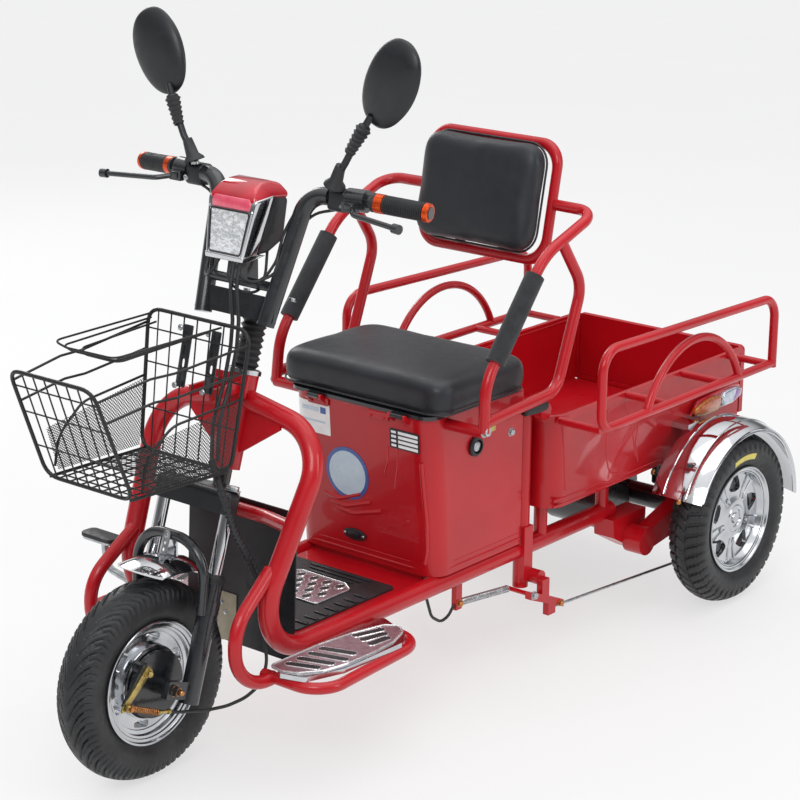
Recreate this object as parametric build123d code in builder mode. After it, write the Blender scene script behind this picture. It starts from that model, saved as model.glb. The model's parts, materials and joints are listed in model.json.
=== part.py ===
from build123d import *
import os
from math import cos, radians, sin, tan

os.makedirs("parts", exist_ok=True)

# Small electric cargo tricycle: one steered front wheel, a seat on the battery box and a
# load bed between the two rear wheels.  Millimetres, +Z up, the floor at z = 0, the front
# towards -Y and the rider's left towards +X.  The origin is on the floor, below the middle.

# ---- driving dimensions --------------------------------------------------------------
wheelbase = 1417
rear_axle_y = 694
tyre_r = 185
tyre_w = 82
rim_seat_r = 102
rim_flange_r = 115
rim_w = 64
fit = 0.05  # radial clearance of a part that turns on its pin
seat_gap = 0.3  # between curved or soft pieces that rest on each other
clear = 6  # between a moving piece and its neighbour

rake = 18
steer_reach = 268  # from the front axle back to the steering axis at steer_z
steer_z = 673
fork_half = 78
fork_offset = 56.5  # the legs stand this far ahead of the steering axis
stem_r = 15
head_r = 28
head_low = -155
head_high = 18

loop_d = 38
loop_z = 216
branch_d = 25
board_tube_d = 22
floor_z = 222
sheet = 3

box_half = 176.5
box_overhang = 18.5  # the box's side stands this far outside the middle of a loop
box_back_from_axle = 534
box_depth = 270
box_lean = 23
box_top = 558
lid_t = 7
cushion_half = 215
cushion_t = 72
arm_d = 22
arm_half = 260
rest_half = 155
rest_d = 20

bed_half = 219.5
bed_front_from_axle = 489
bed_rear_from_axle = 199
bed_rim_z = 496
bed_floor_z = 338
bed_skirt_z = 301
bed_rail_gap = 107
bed_rail_d = 19
gate_t = 14
bolt_span_x = 240
bolt_span_y = 480
bolt_r = 4.5

track_gap = 109.5  # from the bed's side to the middle of a rear tyre
fender_gap = 35.5
fender_w = 123
fender_lift = 23
basket_half = 125
basket_front_half = 106

# ---- places worked out from them -----------------------------------------------------
front_axle_y = rear_axle_y - wheelbase
axle_z = tyre_r
box_back = rear_axle_y - box_back_from_axle
box_front = box_back - box_depth
bed_front = rear_axle_y - bed_front_from_axle
bed_rear = rear_axle_y + bed_rear_from_axle
loop_half = box_half - box_overhang
loop_top = loop_z + loop_d / 2
beam_half = loop_half + 2
post_x = loop_half + 7
floor_front = front_axle_y + 257.8
floor_half = loop_half - loop_d / 2 - 2
rear_track_half = bed_half + track_gap
bed_rail_half = bed_half + bed_rail_gap
fender_r = tyre_r + fender_lift
fender_in = bed_half + fender_gap
fender_out = fender_in + fender_w
steer_y = front_axle_y + steer_reach
axis_up = Vector(0, sin(radians(rake)), cos(radians(rake)))
steer = Plane(origin=(0, steer_y, steer_z), x_dir=(1, 0, 0), z_dir=axis_up)
front_axle = Vector(0, front_axle_y, axle_z)
axle_local = steer.to_local_coords(front_axle)  # behind (+) or ahead (-), and height


def ahead(x, y, z):
    """A point of the front end, with y counted back from the front axle."""
    return Vector(x, front_axle_y + y, z)


def behind(x, y, z):
    """A point of the rear end, with y counted back from the rear axle."""
    return Vector(x, rear_axle_y + y, z)


def on_fork(x, y, z):
    """A point that turns with the fork: x, back from the steering axis, up along it."""
    return steer.from_local_coords(Vector(x, y, z))


def tube(points, bends, diameter, mode=Mode.ADD):
    """Make a round tube along straight runs that tangent arcs join."""
    with BuildLine() as route:
        if bends:
            FilletPolyline(*points, radius=bends)
        else:
            Line(points[0], points[1])
    with BuildSketch(Plane(origin=route.line @ 0, z_dir=route.line % 0)) as section:
        Circle(diameter / 2)
    sweep(sections=section.sketch, path=route.line, mode=mode)


def rod(start, end, diameter, mode=Mode.ADD):
    """A straight round bar or bore between two points."""
    tube([start, end], [], diameter, mode)


def block(low, high, mode=Mode.ADD):
    """A box between two opposite corners."""
    middle = (Vector(*low) + Vector(*high)) / 2
    size = Vector(*high) - Vector(*low)
    with Locations(middle):
        Box(abs(size.X), abs(size.Y), abs(size.Z), mode=mode)


def ring(start, end, outer_d, inner_d):
    """A sleeve between two points."""
    with BuildSketch(Plane(origin=start, z_dir=end - start)) as section:
        Circle(outer_d / 2)
        Circle(inner_d / 2, mode=Mode.SUBTRACT)
    extrude(to_extrude=section.sketch, amount=(end - start).length)


def side_plate(outline, start, thickness, mode=Mode.ADD):
    """A plate across X, from a closed outline of (y, z) points."""
    with BuildSketch(Plane.YZ.offset(start)) as face:
        with BuildLine():
            Polyline(*outline, close=True)
        make_face()
    extrude(to_extrude=face.sketch, amount=thickness, mode=mode)


def save(piece, node):
    """Label a finished piece and write it as its own node."""
    piece.part.label = node
    export_step(piece.part, f"parts/{node}.step")


def save_both(left, node):
    """Write a left-hand piece and its mirror image as two solids of one node."""
    with BuildPart() as both:
        add(left.part)
        mirror(left.part, about=Plane.YZ)
    save(both, node)


def save_pair(left, node):
    """Write a left-hand piece and its mirror image as two nodes."""
    with BuildPart() as right:
        mirror(left.part, about=Plane.YZ)
    save(left, f"{node}_left")
    save(right, f"{node}_right")


# ---- wheels --------------------------------------------------------------------------
bead_half = rim_w / 2 - 4


def tyre_section(centre):
    """Half-round tyre section, bead to bead, turned about the wheel's axis."""
    bead_r = rim_seat_r + seat_gap
    shoulder_r = tyre_r - 13
    shoulder_x = tyre_w / 2 - 7
    bead_x = bead_half - seat_gap
    flange_clear_r = rim_flange_r + 4
    wall_r = (flange_clear_r + shoulder_r) / 2 + 1
    with BuildSketch(Plane(origin=centre, x_dir=(1, 0, 0), z_dir=(0, 0, 1))) as section:
        with BuildLine():
            Line((-bead_x, bead_r), (-bead_x, flange_clear_r))
            ThreePointArc((-bead_x, flange_clear_r), (-tyre_w / 2, wall_r), (-shoulder_x, shoulder_r))
            ThreePointArc((-shoulder_x, shoulder_r), (0, tyre_r), (shoulder_x, shoulder_r))
            ThreePointArc((shoulder_x, shoulder_r), (tyre_w / 2, wall_r), (bead_x, flange_clear_r))
            Line((bead_x, flange_clear_r), (bead_x, bead_r))
            Line((bead_x, bead_r), (-bead_x, bead_r))
        make_face()
    revolve(section.sketch, axis=Axis(centre, (1, 0, 0)))


def rim_body(centre, hub_in, hub_out, hub_r, drum_in, drum_out, drum_r, disc_x):
    """Rim barrel, wheel disc, hub and brake drum; the hub runs from hub_in to hub_out."""
    half = rim_w / 2
    wall = 5
    with BuildSketch(Plane(origin=centre, x_dir=(1, 0, 0), z_dir=(0, 0, 1))) as section:
        with BuildLine():
            Polyline(
                (-half, rim_seat_r - wall), (half, rim_seat_r - wall), (half, rim_flange_r),
                (bead_half, rim_flange_r), (bead_half, rim_seat_r), (-bead_half, rim_seat_r),
                (-bead_half, rim_flange_r), (-half, rim_flange_r), close=True,
            )
        make_face()
        with Locations((disc_x, (rim_seat_r - wall + hub_r) / 2)):
            Rectangle(8, rim_seat_r - wall - hub_r + 4)
        with Locations(((hub_in + hub_out) / 2, hub_r / 2)):
            Rectangle(hub_out - hub_in, hub_r)
        with Locations(((drum_in + drum_out) / 2, drum_r / 2)):
            Rectangle(drum_out - drum_in, drum_r)
    revolve(section.sketch, axis=Axis(centre, (1, 0, 0)))


front_axle_r = 6
front_drum_r = 66
front_drum_out = 26
plate_in = front_drum_out + clear
plate_out = plate_in + 8
with BuildPart() as front_tyre:
    tyre_section(front_axle)
save(front_tyre, "front_tyre")

with BuildPart() as front_rim:
    rim_body(front_axle, -36, front_drum_out, 30, -8, front_drum_out, front_drum_r, -4)
    rod(ahead(-60, 0, axle_z), ahead(60, 0, axle_z), 2 * (front_axle_r + fit), Mode.SUBTRACT)
save(front_rim, "front_rim")

rear_shaft_r = 10
rear_hub_in = -50
rear_hub_out = 22
rear_centre = Vector(rear_track_half, rear_axle_y, axle_z)
with BuildPart() as rear_tyre:
    tyre_section(rear_centre)
save_pair(rear_tyre, "rear_tyre")

with BuildPart() as rear_rim:
    rim_body(rear_centre, rear_hub_in, rear_hub_out, 32, rear_hub_in, -20, 60, 14)
    rod(
        behind(rear_track_half + rear_hub_in - 1, 0, axle_z),
        behind(rear_track_half + rear_hub_out - 5, 0, axle_z),
        2 * (rear_shaft_r + fit), Mode.SUBTRACT,
    )
save_pair(rear_rim, "rear_rim")

# ---- fork and front axle -------------------------------------------------------------
crown_low = -228
crown_high = -186
collar = -345
stanchion_d = 24
leg_d = 36
leg_end = axle_local.Z - 24
axle_lug = 14
with BuildPart() as fork_crown:
    with BuildSketch(steer.offset(crown_low)):
        with BuildLine():
            Polyline(
                (-92, -82), (92, -82), (92, -48), (32, 20), (-32, 20), (-92, -48), close=True,
            )
        make_face()
        fillet(vertices(), 16)
    extrude(amount=crown_high - crown_low)
    fillet(faces().sort_by(Axis(steer.origin, axis_up))[-1].edges(), 13)
save(fork_crown, "fork_crown")

with BuildPart() as fork_tube:
    rod(
        on_fork(fork_half, -fork_offset, collar), on_fork(fork_half, -fork_offset, crown_low),
        stanchion_d,
    )
save_both(fork_tube, "fork_tubes")

with BuildPart() as fork_leg:
    rod(
        on_fork(fork_half, -fork_offset, leg_end), on_fork(fork_half, -fork_offset, collar), leg_d
    )
    with BuildSketch(steer.offset(axle_local.Z - 16)):
        with Locations((fork_half, (axle_local.Y - fork_offset) / 2 - 3)):
            Rectangle(axle_lug, fork_offset * 2 - 32)
    extrude(amount=32)
    rod(ahead(0, 0, axle_z), ahead(120, 0, axle_z), 2 * (front_axle_r + fit), Mode.SUBTRACT)
save_both(fork_leg, "fork_legs")

nut_in = fork_half + axle_lug / 2
arm_pivot = ahead(0, -42, axle_z + 45)
with BuildPart() as front_axle_brake:
    rod(ahead(-nut_in - 12, 0, axle_z), ahead(nut_in + 12, 0, axle_z), 2 * front_axle_r)
    for side in (-1, 1):
        with BuildSketch(Plane(origin=ahead(side * nut_in, 0, axle_z), z_dir=(side, 0, 0))) as nut:
            RegularPolygon(11, 6)
        extrude(to_extrude=nut.sketch, amount=9)
    rod(ahead(-fork_half + axle_lug / 2, 0, axle_z), ahead(-36 - clear, 0, axle_z), 24)
    rod(ahead(plate_out, 0, axle_z), ahead(fork_half - axle_lug / 2, 0, axle_z), 30)
    rod(ahead(plate_in, 0, axle_z), ahead(plate_out, 0, axle_z), 2 * 62)
    rod(ahead(plate_in, -42, axle_z + 45), ahead(plate_out + 18, -42, axle_z + 45), 24)
    side_plate(
        [
            (arm_pivot.Y - 9, arm_pivot.Z + 12), (arm_pivot.Y + 12, arm_pivot.Z + 6),
            (arm_pivot.Y - 46, axle_z - 12), (arm_pivot.Y - 60, axle_z - 4),
        ],
        plate_out + 12, 6,
    )
save(front_axle_brake, "front_axle_brake")

hoop_d = 19
hoop_top = -284
hoop_ahead = -104
hoop_half = fork_half + 7
hoop_path = [
    on_fork(fork_half + 2, -72, collar - 64), on_fork(hoop_half, hoop_ahead, hoop_top),
    on_fork(-hoop_half, hoop_ahead, hoop_top), on_fork(-fork_half - 2, -72, collar - 64),
]
hoop_bend = 66
with BuildPart() as fork_hoop:
    tube(hoop_path, [hoop_bend, hoop_bend], hoop_d)
    for side in (-1, 1):
        low = on_fork(side * fork_half, -fork_offset, collar - 62)
        high = on_fork(side * fork_half, -fork_offset, collar - 38)
        rod(low, high, leg_d + 4)
        rod(
            on_fork(side * fork_half, -fork_offset, collar - 80),
            on_fork(side * fork_half, -fork_offset, collar + 4), leg_d + 2 * seat_gap,
            Mode.SUBTRACT,
        )
save(fork_hoop, "fork_hoop")

# ---- front fender: a short arched plate over the tyre ---------------------------------
mudguard_r = tyre_r + 36
mudguard_half = 57
mudguard_back = 22  # the middle of its arc stands this far behind the axle
mudguard_from = 67
mudguard_sweep = 36


def arched_plate(centre, start_angle, sweep_angle, x_in, x_out, top_r, drop, thick):
    """A bowed plate that runs round a wheel, its two edges lower than its middle."""
    up = Vector(0, cos(radians(start_angle)), sin(radians(start_angle)))
    plane = Plane(origin=centre, x_dir=(1, 0, 0), z_dir=Vector(1, 0, 0).cross(up))
    middle = (x_in + x_out) / 2
    with BuildSketch(plane) as section:
        with BuildLine():
            ThreePointArc((x_in, top_r - drop), (middle, top_r), (x_out, top_r - drop))
            Line((x_out, top_r - drop), (x_out - thick, top_r - drop - thick))
            ThreePointArc(
                (x_out - thick, top_r - drop - thick), (middle, top_r - thick),
                (x_in + thick, top_r - drop - thick),
            )
            Line((x_in + thick, top_r - drop - thick), (x_in, top_r - drop))
        make_face()
    revolve(section.sketch, axis=Axis(centre, (1, 0, 0)), revolution_arc=sweep_angle)


strap_y = (hoop_path[1].Y + hoop_path[2].Y) / 2
strap_z = (hoop_path[1].Z + hoop_path[2].Z) / 2
with BuildPart() as front_fender:
    arched_plate(
        ahead(0, mudguard_back, axle_z), mudguard_from, mudguard_sweep, -mudguard_half,
        mudguard_half, mudguard_r, 18, 3,
    )
    with BuildSketch(Plane.XY.offset(axle_z)) as nose:
        with BuildLine():
            ThreePointArc(
                (-mudguard_half - 2, front_axle_y + 14), (0, front_axle_y - 26),
                (mudguard_half + 2, front_axle_y + 14),
            )
            Polyline(
                (mudguard_half + 2, front_axle_y + 14), (mudguard_half + 2, front_axle_y - 80),
                (-mudguard_half - 2, front_axle_y - 80), (-mudguard_half - 2, front_axle_y + 14),
            )
        make_face()
    extrude(to_extrude=nose.sketch, amount=mudguard_r + 20, mode=Mode.SUBTRACT)
    side_plate(
        [
            (strap_y - 4, axle_z + mudguard_r - 12), (strap_y, axle_z + mudguard_r - 12),
            (strap_y + 2, strap_z), (strap_y - 2, strap_z),
        ],
        -15, 30,
    )
    tube([hoop_path[1], hoop_path[2]], [], hoop_d + 2 * seat_gap, Mode.SUBTRACT)
save(front_fender, "front_fender")

# ---- steering stem, bellows, handlebar ------------------------------------------------
clamp_low = 118
with BuildPart() as steering_stem:
    with BuildSketch(steer.offset(crown_high)):
        Circle(stem_r)
    extrude(amount=clamp_low - crown_high)
save(steering_stem, "steering_stem")

bellows_r = 24
bellows_ribs = 8
bellows_low = head_high + clear
rib_pitch = (clamp_low - 1 - bellows_low) / bellows_ribs
with BuildPart() as stem_bellows:
    with BuildSketch(Plane(origin=steer.origin, x_dir=(1, 0, 0), z_dir=-steer.y_dir)) as ribs:
        with BuildLine():
            Polyline(
                (stem_r + seat_gap, bellows_low),
                *[
                    (bellows_r - 5 * (step % 2), bellows_low + step * rib_pitch / 2)
                    for step in range(2 * bellows_ribs + 1)
                ],
                (stem_r + seat_gap, bellows_low + bellows_ribs * rib_pitch),
                close=True,
            )
        make_face()
    revolve(ribs.sketch, axis=Axis(steer.origin, axis_up))
save(stem_bellows, "stem_bellows")

bar_d = 22.2
riser_d = 32
corner = ahead(105, 331.7, 1025)
elbow = ahead(235, 350.7, 1025)
bar_end = ahead(347, 374, 1018)
riser_foot = ahead(76, 248.7, 797)
bar_dir = (elbow - corner).normalized()
grip_dir = (bar_end - elbow).normalized()
collar_start = corner + bar_dir * 46
with BuildPart() as handlebar:
    for side in (-1, 1):
        def at(point):
            return Vector(point.X * side, point.Y, point.Z)

        tube([at(riser_foot), at(corner), at(collar_start)], [44], riser_d)
        tube([at(corner + bar_dir * 20), at(elbow), at(bar_end)], [120], bar_d)
    with BuildSketch(steer.offset(clamp_low)) as clamp:
        with Locations((0, -fork_offset)):
            Rectangle(190, 9)
    extrude(to_extrude=clamp.sketch, amount=44)
    with BuildSketch(steer.offset(clamp_low)) as neck:
        with Locations((0, -18)):
            Rectangle(52, 76)
        fillet(neck.vertices(), 8)
    extrude(to_extrude=neck.sketch, amount=32)
    rod(ahead(-84, 270, 862), ahead(84, 270, 862), 18)
    block(ahead(-20, 264, 862), ahead(20, 292, 912 - seat_gap - 4))
save(handlebar, "handlebar")

with BuildPart() as grips:
    for side in (-1, 1):
        start = elbow + grip_dir * 12
        end = bar_end - grip_dir * 2
        near = Vector(start.X * side, start.Y, start.Z)
        far = Vector(end.X * side, end.Y, end.Z)
        ring(near, far, 34, bar_d + 2 * fit)
save(grips, "grips")

with BuildPart() as brake_levers:
    pod_start = corner + bar_dir * 84
    pod_end = corner + bar_dir * 122
    for side in (-1, 1):

        def at(point):
            return Vector(point.X * side, point.Y, point.Z)

        ring(at(pod_start), at(pod_end), 40, bar_d + 2 * fit)
        block(at(ahead(194, 316, 1008)), at(ahead(222, 331, 1026)))
        tube(
            [at(ahead(210, 326, 1017)), at(ahead(238, 296, 1012)), at(ahead(351, 276, 1008))],
            [24], 10,
        )
        rod(at(ahead(344, 277, 1008.2)), at(ahead(358, 275, 1007.8)), 17)
save(brake_levers, "brake_levers")

mirror_egg = [
    (0, -84), (-38, -64), (-59, -14), (-58, 34), (-36, 72), (0, 84), (36, 72), (58, 34), (59, -14),
    (38, -64),
]
with BuildPart() as mirror_piece:
    ring(corner + bar_dir * 54, corner + bar_dir * 76, 34, bar_d + 2 * fit)
    tube(
        [ahead(169, 339, 1039), ahead(191, 326, 1086), ahead(218, 331, 1136), ahead(250, 347, 1196)],
        [60, 60], 14,
    )
    face = Plane(origin=ahead(275, 333, 1234), x_dir=(0.875, 0, -0.485), z_dir=(0.05, -0.99, 0.1))
    with BuildSketch(face) as shell:
        with BuildLine():
            Spline(*[(0.84 * x, 0.84 * y) for x, y in mirror_egg], periodic=True)
        make_face()
    extrude(to_extrude=shell.sketch, amount=-10)
    with BuildSketch(face.offset(-10)) as glass:
        with BuildLine():
            Spline(*mirror_egg, periodic=True)
        make_face()
    extrude(to_extrude=glass.sketch, amount=-12)
save_both(mirror_piece, "mirrors")

lamp_half = 58
with BuildPart() as headlight:
    side_plate(
        [
            (front_axle_y + 222, 918), (front_axle_y + 246, 1022), (front_axle_y + 268, 1046),
            (front_axle_y + 328, 1040), (front_axle_y + 346, 1004), (front_axle_y + 340, 930),
            (front_axle_y + 300, 912 - 4), (front_axle_y + 240, 912 - 4),
        ],
        -lamp_half, 2 * lamp_half,
    )
    fillet(edges().filter_by(Axis.X, reverse=True), 9)
save(headlight, "headlight")

# ---- frame ---------------------------------------------------------------------------
with BuildPart() as head_tube:
    with BuildSketch(steer.offset(head_low)) as barrel:
        Circle(head_r)
    extrude(to_extrude=barrel.sketch, amount=head_high - head_low)
    with BuildSketch(steer.offset(-24)) as mount_plate:
        with Locations((0, -head_r - 2)):
            Rectangle(80, 6)
    extrude(to_extrude=mount_plate.sketch, amount=40)
    for side in (-1, 1):
        block(
            ahead(side * 25 - 3, 160 + seat_gap, 649 + loop_d / 2), ahead(side * 25 + 3, 246, 688)
        )
    with BuildSketch(steer.offset(head_low - 1)) as bore:
        Circle(stem_r + fit)
    extrude(to_extrude=bore.sketch, amount=head_high - head_low + 2, mode=Mode.SUBTRACT)
save(head_tube, "head_tube")

loop_path = [
    ahead(20, 260, 648), ahead(205, 265, 612), ahead(loop_half, 90, loop_z),
    behind(loop_half + 2, -200, loop_z),
]
loop_bends = [95, 110]
gusset = [(20, -42), (104, -46), (112, -64), (30, -122), (20, -122)]
board_path = [
    ahead(loop_half + 8, 139, 195), ahead(304, 139, 195), ahead(285, 432, 195),
    ahead(loop_half + 8, 442, 195),
]
with BuildPart() as side_frame:
    tube(loop_path, loop_bends, loop_d)
    tube(
        [ahead(170, 155, 388), ahead(180, 51, 311), ahead(182, 51, 190), ahead(190, 142, 195)],
        [80, 70], branch_d,
    )
    tube(board_path, [55, 55], board_tube_d)
    block(behind(loop_half - 6, -722, 145), behind(loop_half + 6, -704, loop_z - 8))
    with BuildSketch(Plane(origin=on_fork(0, -2.5, 0), x_dir=(1, 0, 0), z_dir=-steer.y_dir)) as web:
        with BuildLine():
            Polyline(*gusset, close=True)
        make_face()
    extrude(to_extrude=web.sketch, amount=-5)
    with BuildSketch(steer.offset(head_low)) as head_room:
        Circle(head_r)
    extrude(to_extrude=head_room.sketch, amount=head_high - head_low, mode=Mode.SUBTRACT)
save_pair(side_frame, "side_frame")

cross_end = loop_path[2] + (loop_path[1] - loop_path[2]) * 0.61
with BuildPart() as frame_cross_tubes:
    tube(
        [
            Vector(-cross_end.X, cross_end.Y, cross_end.Z), ahead(-72, 252, 438),
            ahead(72, 252, 438), cross_end,
        ],
        [80, 80], 26,
    )
    for y in (floor_front + 70, box_front - 60):
        block((-loop_half, y - 12, floor_z - 20), (loop_half, y + 12, floor_z))
    for side in (-1, 1):
        tube(
            [Vector(point.X * side, point.Y, point.Z) for point in loop_path],
            loop_bends, loop_d, Mode.SUBTRACT,
        )
save(frame_cross_tubes, "frame_cross_tubes")

board_z = 195 + board_tube_d / 2 + seat_gap
with BuildPart() as footboard:
    with BuildSketch(Plane.XY.offset(board_z)):
        with BuildLine():
            Polyline(
                *[
                    (x, front_axle_y + y) for x, y in (
                        (184, 155), (215, 124), (265, 139), (291, 216), (293, 372), (267, 412),
                        (184, 446),
                    )
                ],
                close=True,
            )
        make_face()
        fillet(vertices(), 10)
    extrude(amount=9)
save_both(footboard, "footboards")

with BuildPart() as floor_pan:
    block((-floor_half, floor_front, floor_z), (floor_half, box_front + 60, floor_z + sheet))
    block((-floor_half, box_front + 8, floor_z), (floor_half, box_front + 11, loop_top))
save(floor_pan, "floor_pan")

with BuildPart() as floor_mat:
    block(
        (-floor_half + 8, floor_front + 6, floor_z + sheet),
        (floor_half - 8, box_front - 62, floor_z + sheet + 4),
    )
    fillet(edges().filter_by(Axis.Z), 12)
save(floor_mat, "floor_mat")

guard_half = loop_half - loop_d / 2 - 5
guard_top = 455
guard_low = 170
with BuildPart() as splash_guard:
    side_plate(
        [
            (front_axle_y + 266, guard_top), (front_axle_y + 269, guard_top),
            (front_axle_y + 255, guard_low), (front_axle_y + 252, guard_low),
        ],
        -guard_half, 2 * guard_half,
    )
    fillet(edges().filter_by(Axis.Y), 12)
save(splash_guard, "splash_guard")

with BuildPart() as brake_pedal:
    tube([ahead(-262, 166, 338), ahead(-258, 166, 284), ahead(-166, 166, 266)], [24], 14)
    block(ahead(-310, 148, 336), ahead(-230, 182, 346))
    fillet(edges().filter_by(Axis.Z), 14)
    tube(
        [Vector(-point.X, point.Y, point.Z) for point in loop_path], loop_bends,
        loop_d + 2 * fit, Mode.SUBTRACT,
    )
save(brake_pedal, "brake_pedal")

# ---- seat box, lid, cushion ----------------------------------------------------------
box_low = loop_top + seat_gap
lid_low = box_top + seat_gap
lid_front = box_front - box_lean
seat_hinge_y = lid_front - 10
seat_pin_r = 2.5
seat_knuckle_r = 5
seat_knuckle_half = 14
with BuildPart() as seat_box:
    side_plate(
        [
            (box_front, box_low), (box_back, box_low), (box_back, box_top),
            (box_front - box_lean, box_top),
        ],
        -box_half, 2 * box_half,
    )
    upright = edges().filter_by(Axis.X, reverse=True).filter_by(Axis.Y, reverse=True)
    fillet(upright.group_by(Axis.Y)[0], 42)
    offset(amount=-sheet, openings=faces().sort_by(Axis.Z)[-1])
    for x in (-105, 105):
        for step in (-seat_knuckle_half - 7, seat_knuckle_half + 1):
            side_plate(
                [
                    (lid_front + 2, box_top - 16), (seat_hinge_y - 4, box_top - 4),
                    (seat_hinge_y - 4, box_top + 3), (seat_hinge_y - 2, box_top + 4.5),
                    (seat_hinge_y + 2, box_top + 4.5), (seat_hinge_y + 4, box_top + 2),
                    (seat_hinge_y + 4, box_top - 1), (lid_front + 2, box_top - 1),
                ],
                x + step, 6,
            )
        rod(
            Vector(x - seat_knuckle_half - 4, seat_hinge_y, lid_low),
            Vector(x + seat_knuckle_half + 4, seat_hinge_y, lid_low), 2 * seat_pin_r,
        )
save(seat_box, "seat_box")

battery_half = box_half - sheet - 23.5
with BuildPart() as battery_pack:
    block(
        (-battery_half, box_front + 14, box_low + sheet + seat_gap),
        (battery_half, box_back - 26, box_low + sheet + 186),
    )
save(battery_pack, "battery_pack")

with BuildPart() as seat_lid:
    with BuildSketch(Plane.XY.offset(lid_low)):
        with Locations((0, (lid_front - 4 + box_back - 4) / 2)):
            RectangleRounded(2 * box_half + 6, box_back - lid_front, 30)
    extrude(amount=lid_t)
    for x in (-105, 105):
        block(
            (x - seat_knuckle_half, seat_hinge_y, lid_low),
            (x + seat_knuckle_half, lid_front + 4, lid_low + seat_knuckle_r),
        )
        rod(
            Vector(x - seat_knuckle_half, seat_hinge_y, lid_low),
            Vector(x + seat_knuckle_half, seat_hinge_y, lid_low), 2 * seat_knuckle_r,
        )
        rod(
            Vector(x - seat_knuckle_half - 1, seat_hinge_y, lid_low),
            Vector(x + seat_knuckle_half + 1, seat_hinge_y, lid_low), 2 * (seat_pin_r + fit),
            Mode.SUBTRACT,
        )
save(seat_lid, "seat_lid")

cushion_low = lid_low + lid_t + seat_gap
with BuildPart() as seat_cushion:
    with BuildSketch(Plane.XY.offset(cushion_low)):
        with Locations((0, (lid_front - 11 + box_back - 14) / 2)):
            RectangleRounded(2 * cushion_half, box_back - lid_front - 3, 48)
    extrude(amount=cushion_t)
    fillet(faces().sort_by(Axis.Z)[-1].edges(), 24)
    fillet(faces().sort_by(Axis.Z)[0].edges(), 12)
save(seat_cushion, "seat_cushion")

# ---- seat posts, arm frames, backrest ------------------------------------------------
post_y = box_back + 19
post_top = 512
with BuildPart() as seat_posts:
    for side in (-1, 1):
        rod(Vector(side * post_x, post_y, 137), Vector(side * post_x, post_y, post_top), 32)
        rod(Vector(side * (post_x - 15), post_y + 16, 159), Vector(side * 205, post_y + 16, 159), 30)
        saddle_x = loop_half + loop_d / 2 + 2
        block(
            (side * (saddle_x - 4), post_y - 14, 152), (side * (saddle_x + 5), post_y + 14, 268)
        )
    rod(Vector(-196, post_y + 4, 514), Vector(196, post_y + 4, 514), 28)
    for side in (-1, 1):
        rod(Vector(side * 196, post_y + 4, 514), Vector(side * 216, post_y + 4, 514), 34)
        tube(
            [Vector(point.X * side, point.Y, point.Z) for point in loop_path],
            loop_bends, loop_d + 2 * fit, Mode.SUBTRACT,
        )
save(seat_posts, "seat_posts")

rest_low = behind(0, -450, 793)
rest_high = behind(0, -403, 1019)
rest_up = (rest_high - rest_low).normalized()
rest_plane = Plane(origin=(rest_low + rest_high) / 2, x_dir=(1, 0, 0), z_dir=Vector(1, 0, 0).cross(rest_up))
rest_h = (rest_high - rest_low).length
with BuildPart() as backrest_frame:
    with BuildSketch(rest_plane.offset(-rest_d / 2)) as hoop:
        RectangleRounded(2 * rest_half + rest_d, rest_h + rest_d, 52)
        RectangleRounded(2 * rest_half - rest_d, rest_h - rest_d, 40, mode=Mode.SUBTRACT)
    extrude(to_extrude=hoop.sketch, amount=rest_d)
    fillet(edges(), rest_d / 2 - 0.4)
    with BuildSketch(rest_plane.offset(-1.5)) as tabs:
        for x in (-55, 55):
            for y in (-1, 1):
                with Locations((x, y * (rest_h / 2 - 16))):
                    Rectangle(24, 34)
    extrude(to_extrude=tabs.sketch, amount=3)
save(backrest_frame, "backrest_frame")

pad_half = rest_half - rest_d / 2 - 3
with BuildPart() as backrest_pad:
    with BuildSketch(rest_plane.offset(1.5 + seat_gap)):
        RectangleRounded(2 * pad_half, rest_h - rest_d - 6, 38)
    extrude(amount=rest_d / 2)
    with BuildSketch(rest_plane.offset(rest_d / 2 + seat_gap)):
        with Locations((0, 3)):
            RectangleRounded(2 * pad_half + 10, rest_h - 10, 46)
    extrude(amount=47)
    fillet(faces().sort_by(Axis.Y)[0].edges(), 22)
save(backrest_pad, "backrest_pad")

arm_path = [
    behind(arm_half + 2, -772, 542), behind(arm_half - 2, -765, 635),
    behind(arm_half - 2, -590, 848), behind(arm_half + 2, -430, 906),
    behind(rest_half, -426.5, 906),
]
with BuildPart() as arm_frame:
    tube(arm_path, [120, 150, 42], arm_d)
    tube(
        [
            behind(arm_half, -537, 866), behind(arm_half + 2, -470, 770),
            behind(arm_half + 2, -545, 572), behind(arm_half + 2, -772, 560),
        ],
        [60, 50], arm_d,
    )
    rod(behind(box_half + seat_gap, -772, 542), behind(arm_half + 2, -772, 542), arm_d)
    with BuildSketch(rest_plane.offset(-rest_d)) as rest_side:
        with Locations((rest_half, 0)):
            Rectangle(rest_d, 120)
    extrude(to_extrude=rest_side.sketch, amount=2 * rest_d, mode=Mode.SUBTRACT)
save_pair(arm_frame, "arm_frame")

sleeve_dir = (arm_path[2] - arm_path[1]).normalized()
with BuildPart() as arm_sleeves:
    for side in (-1, 1):
        ends = [arm_path[1] + sleeve_dir * along for along in (44, 232)]
        near, far = [Vector(end.X * side, end.Y, end.Z) for end in ends]
        ring(near, far, 38, arm_d + 2 * seat_gap)
save(arm_sleeves, "arm_sleeves")

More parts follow.
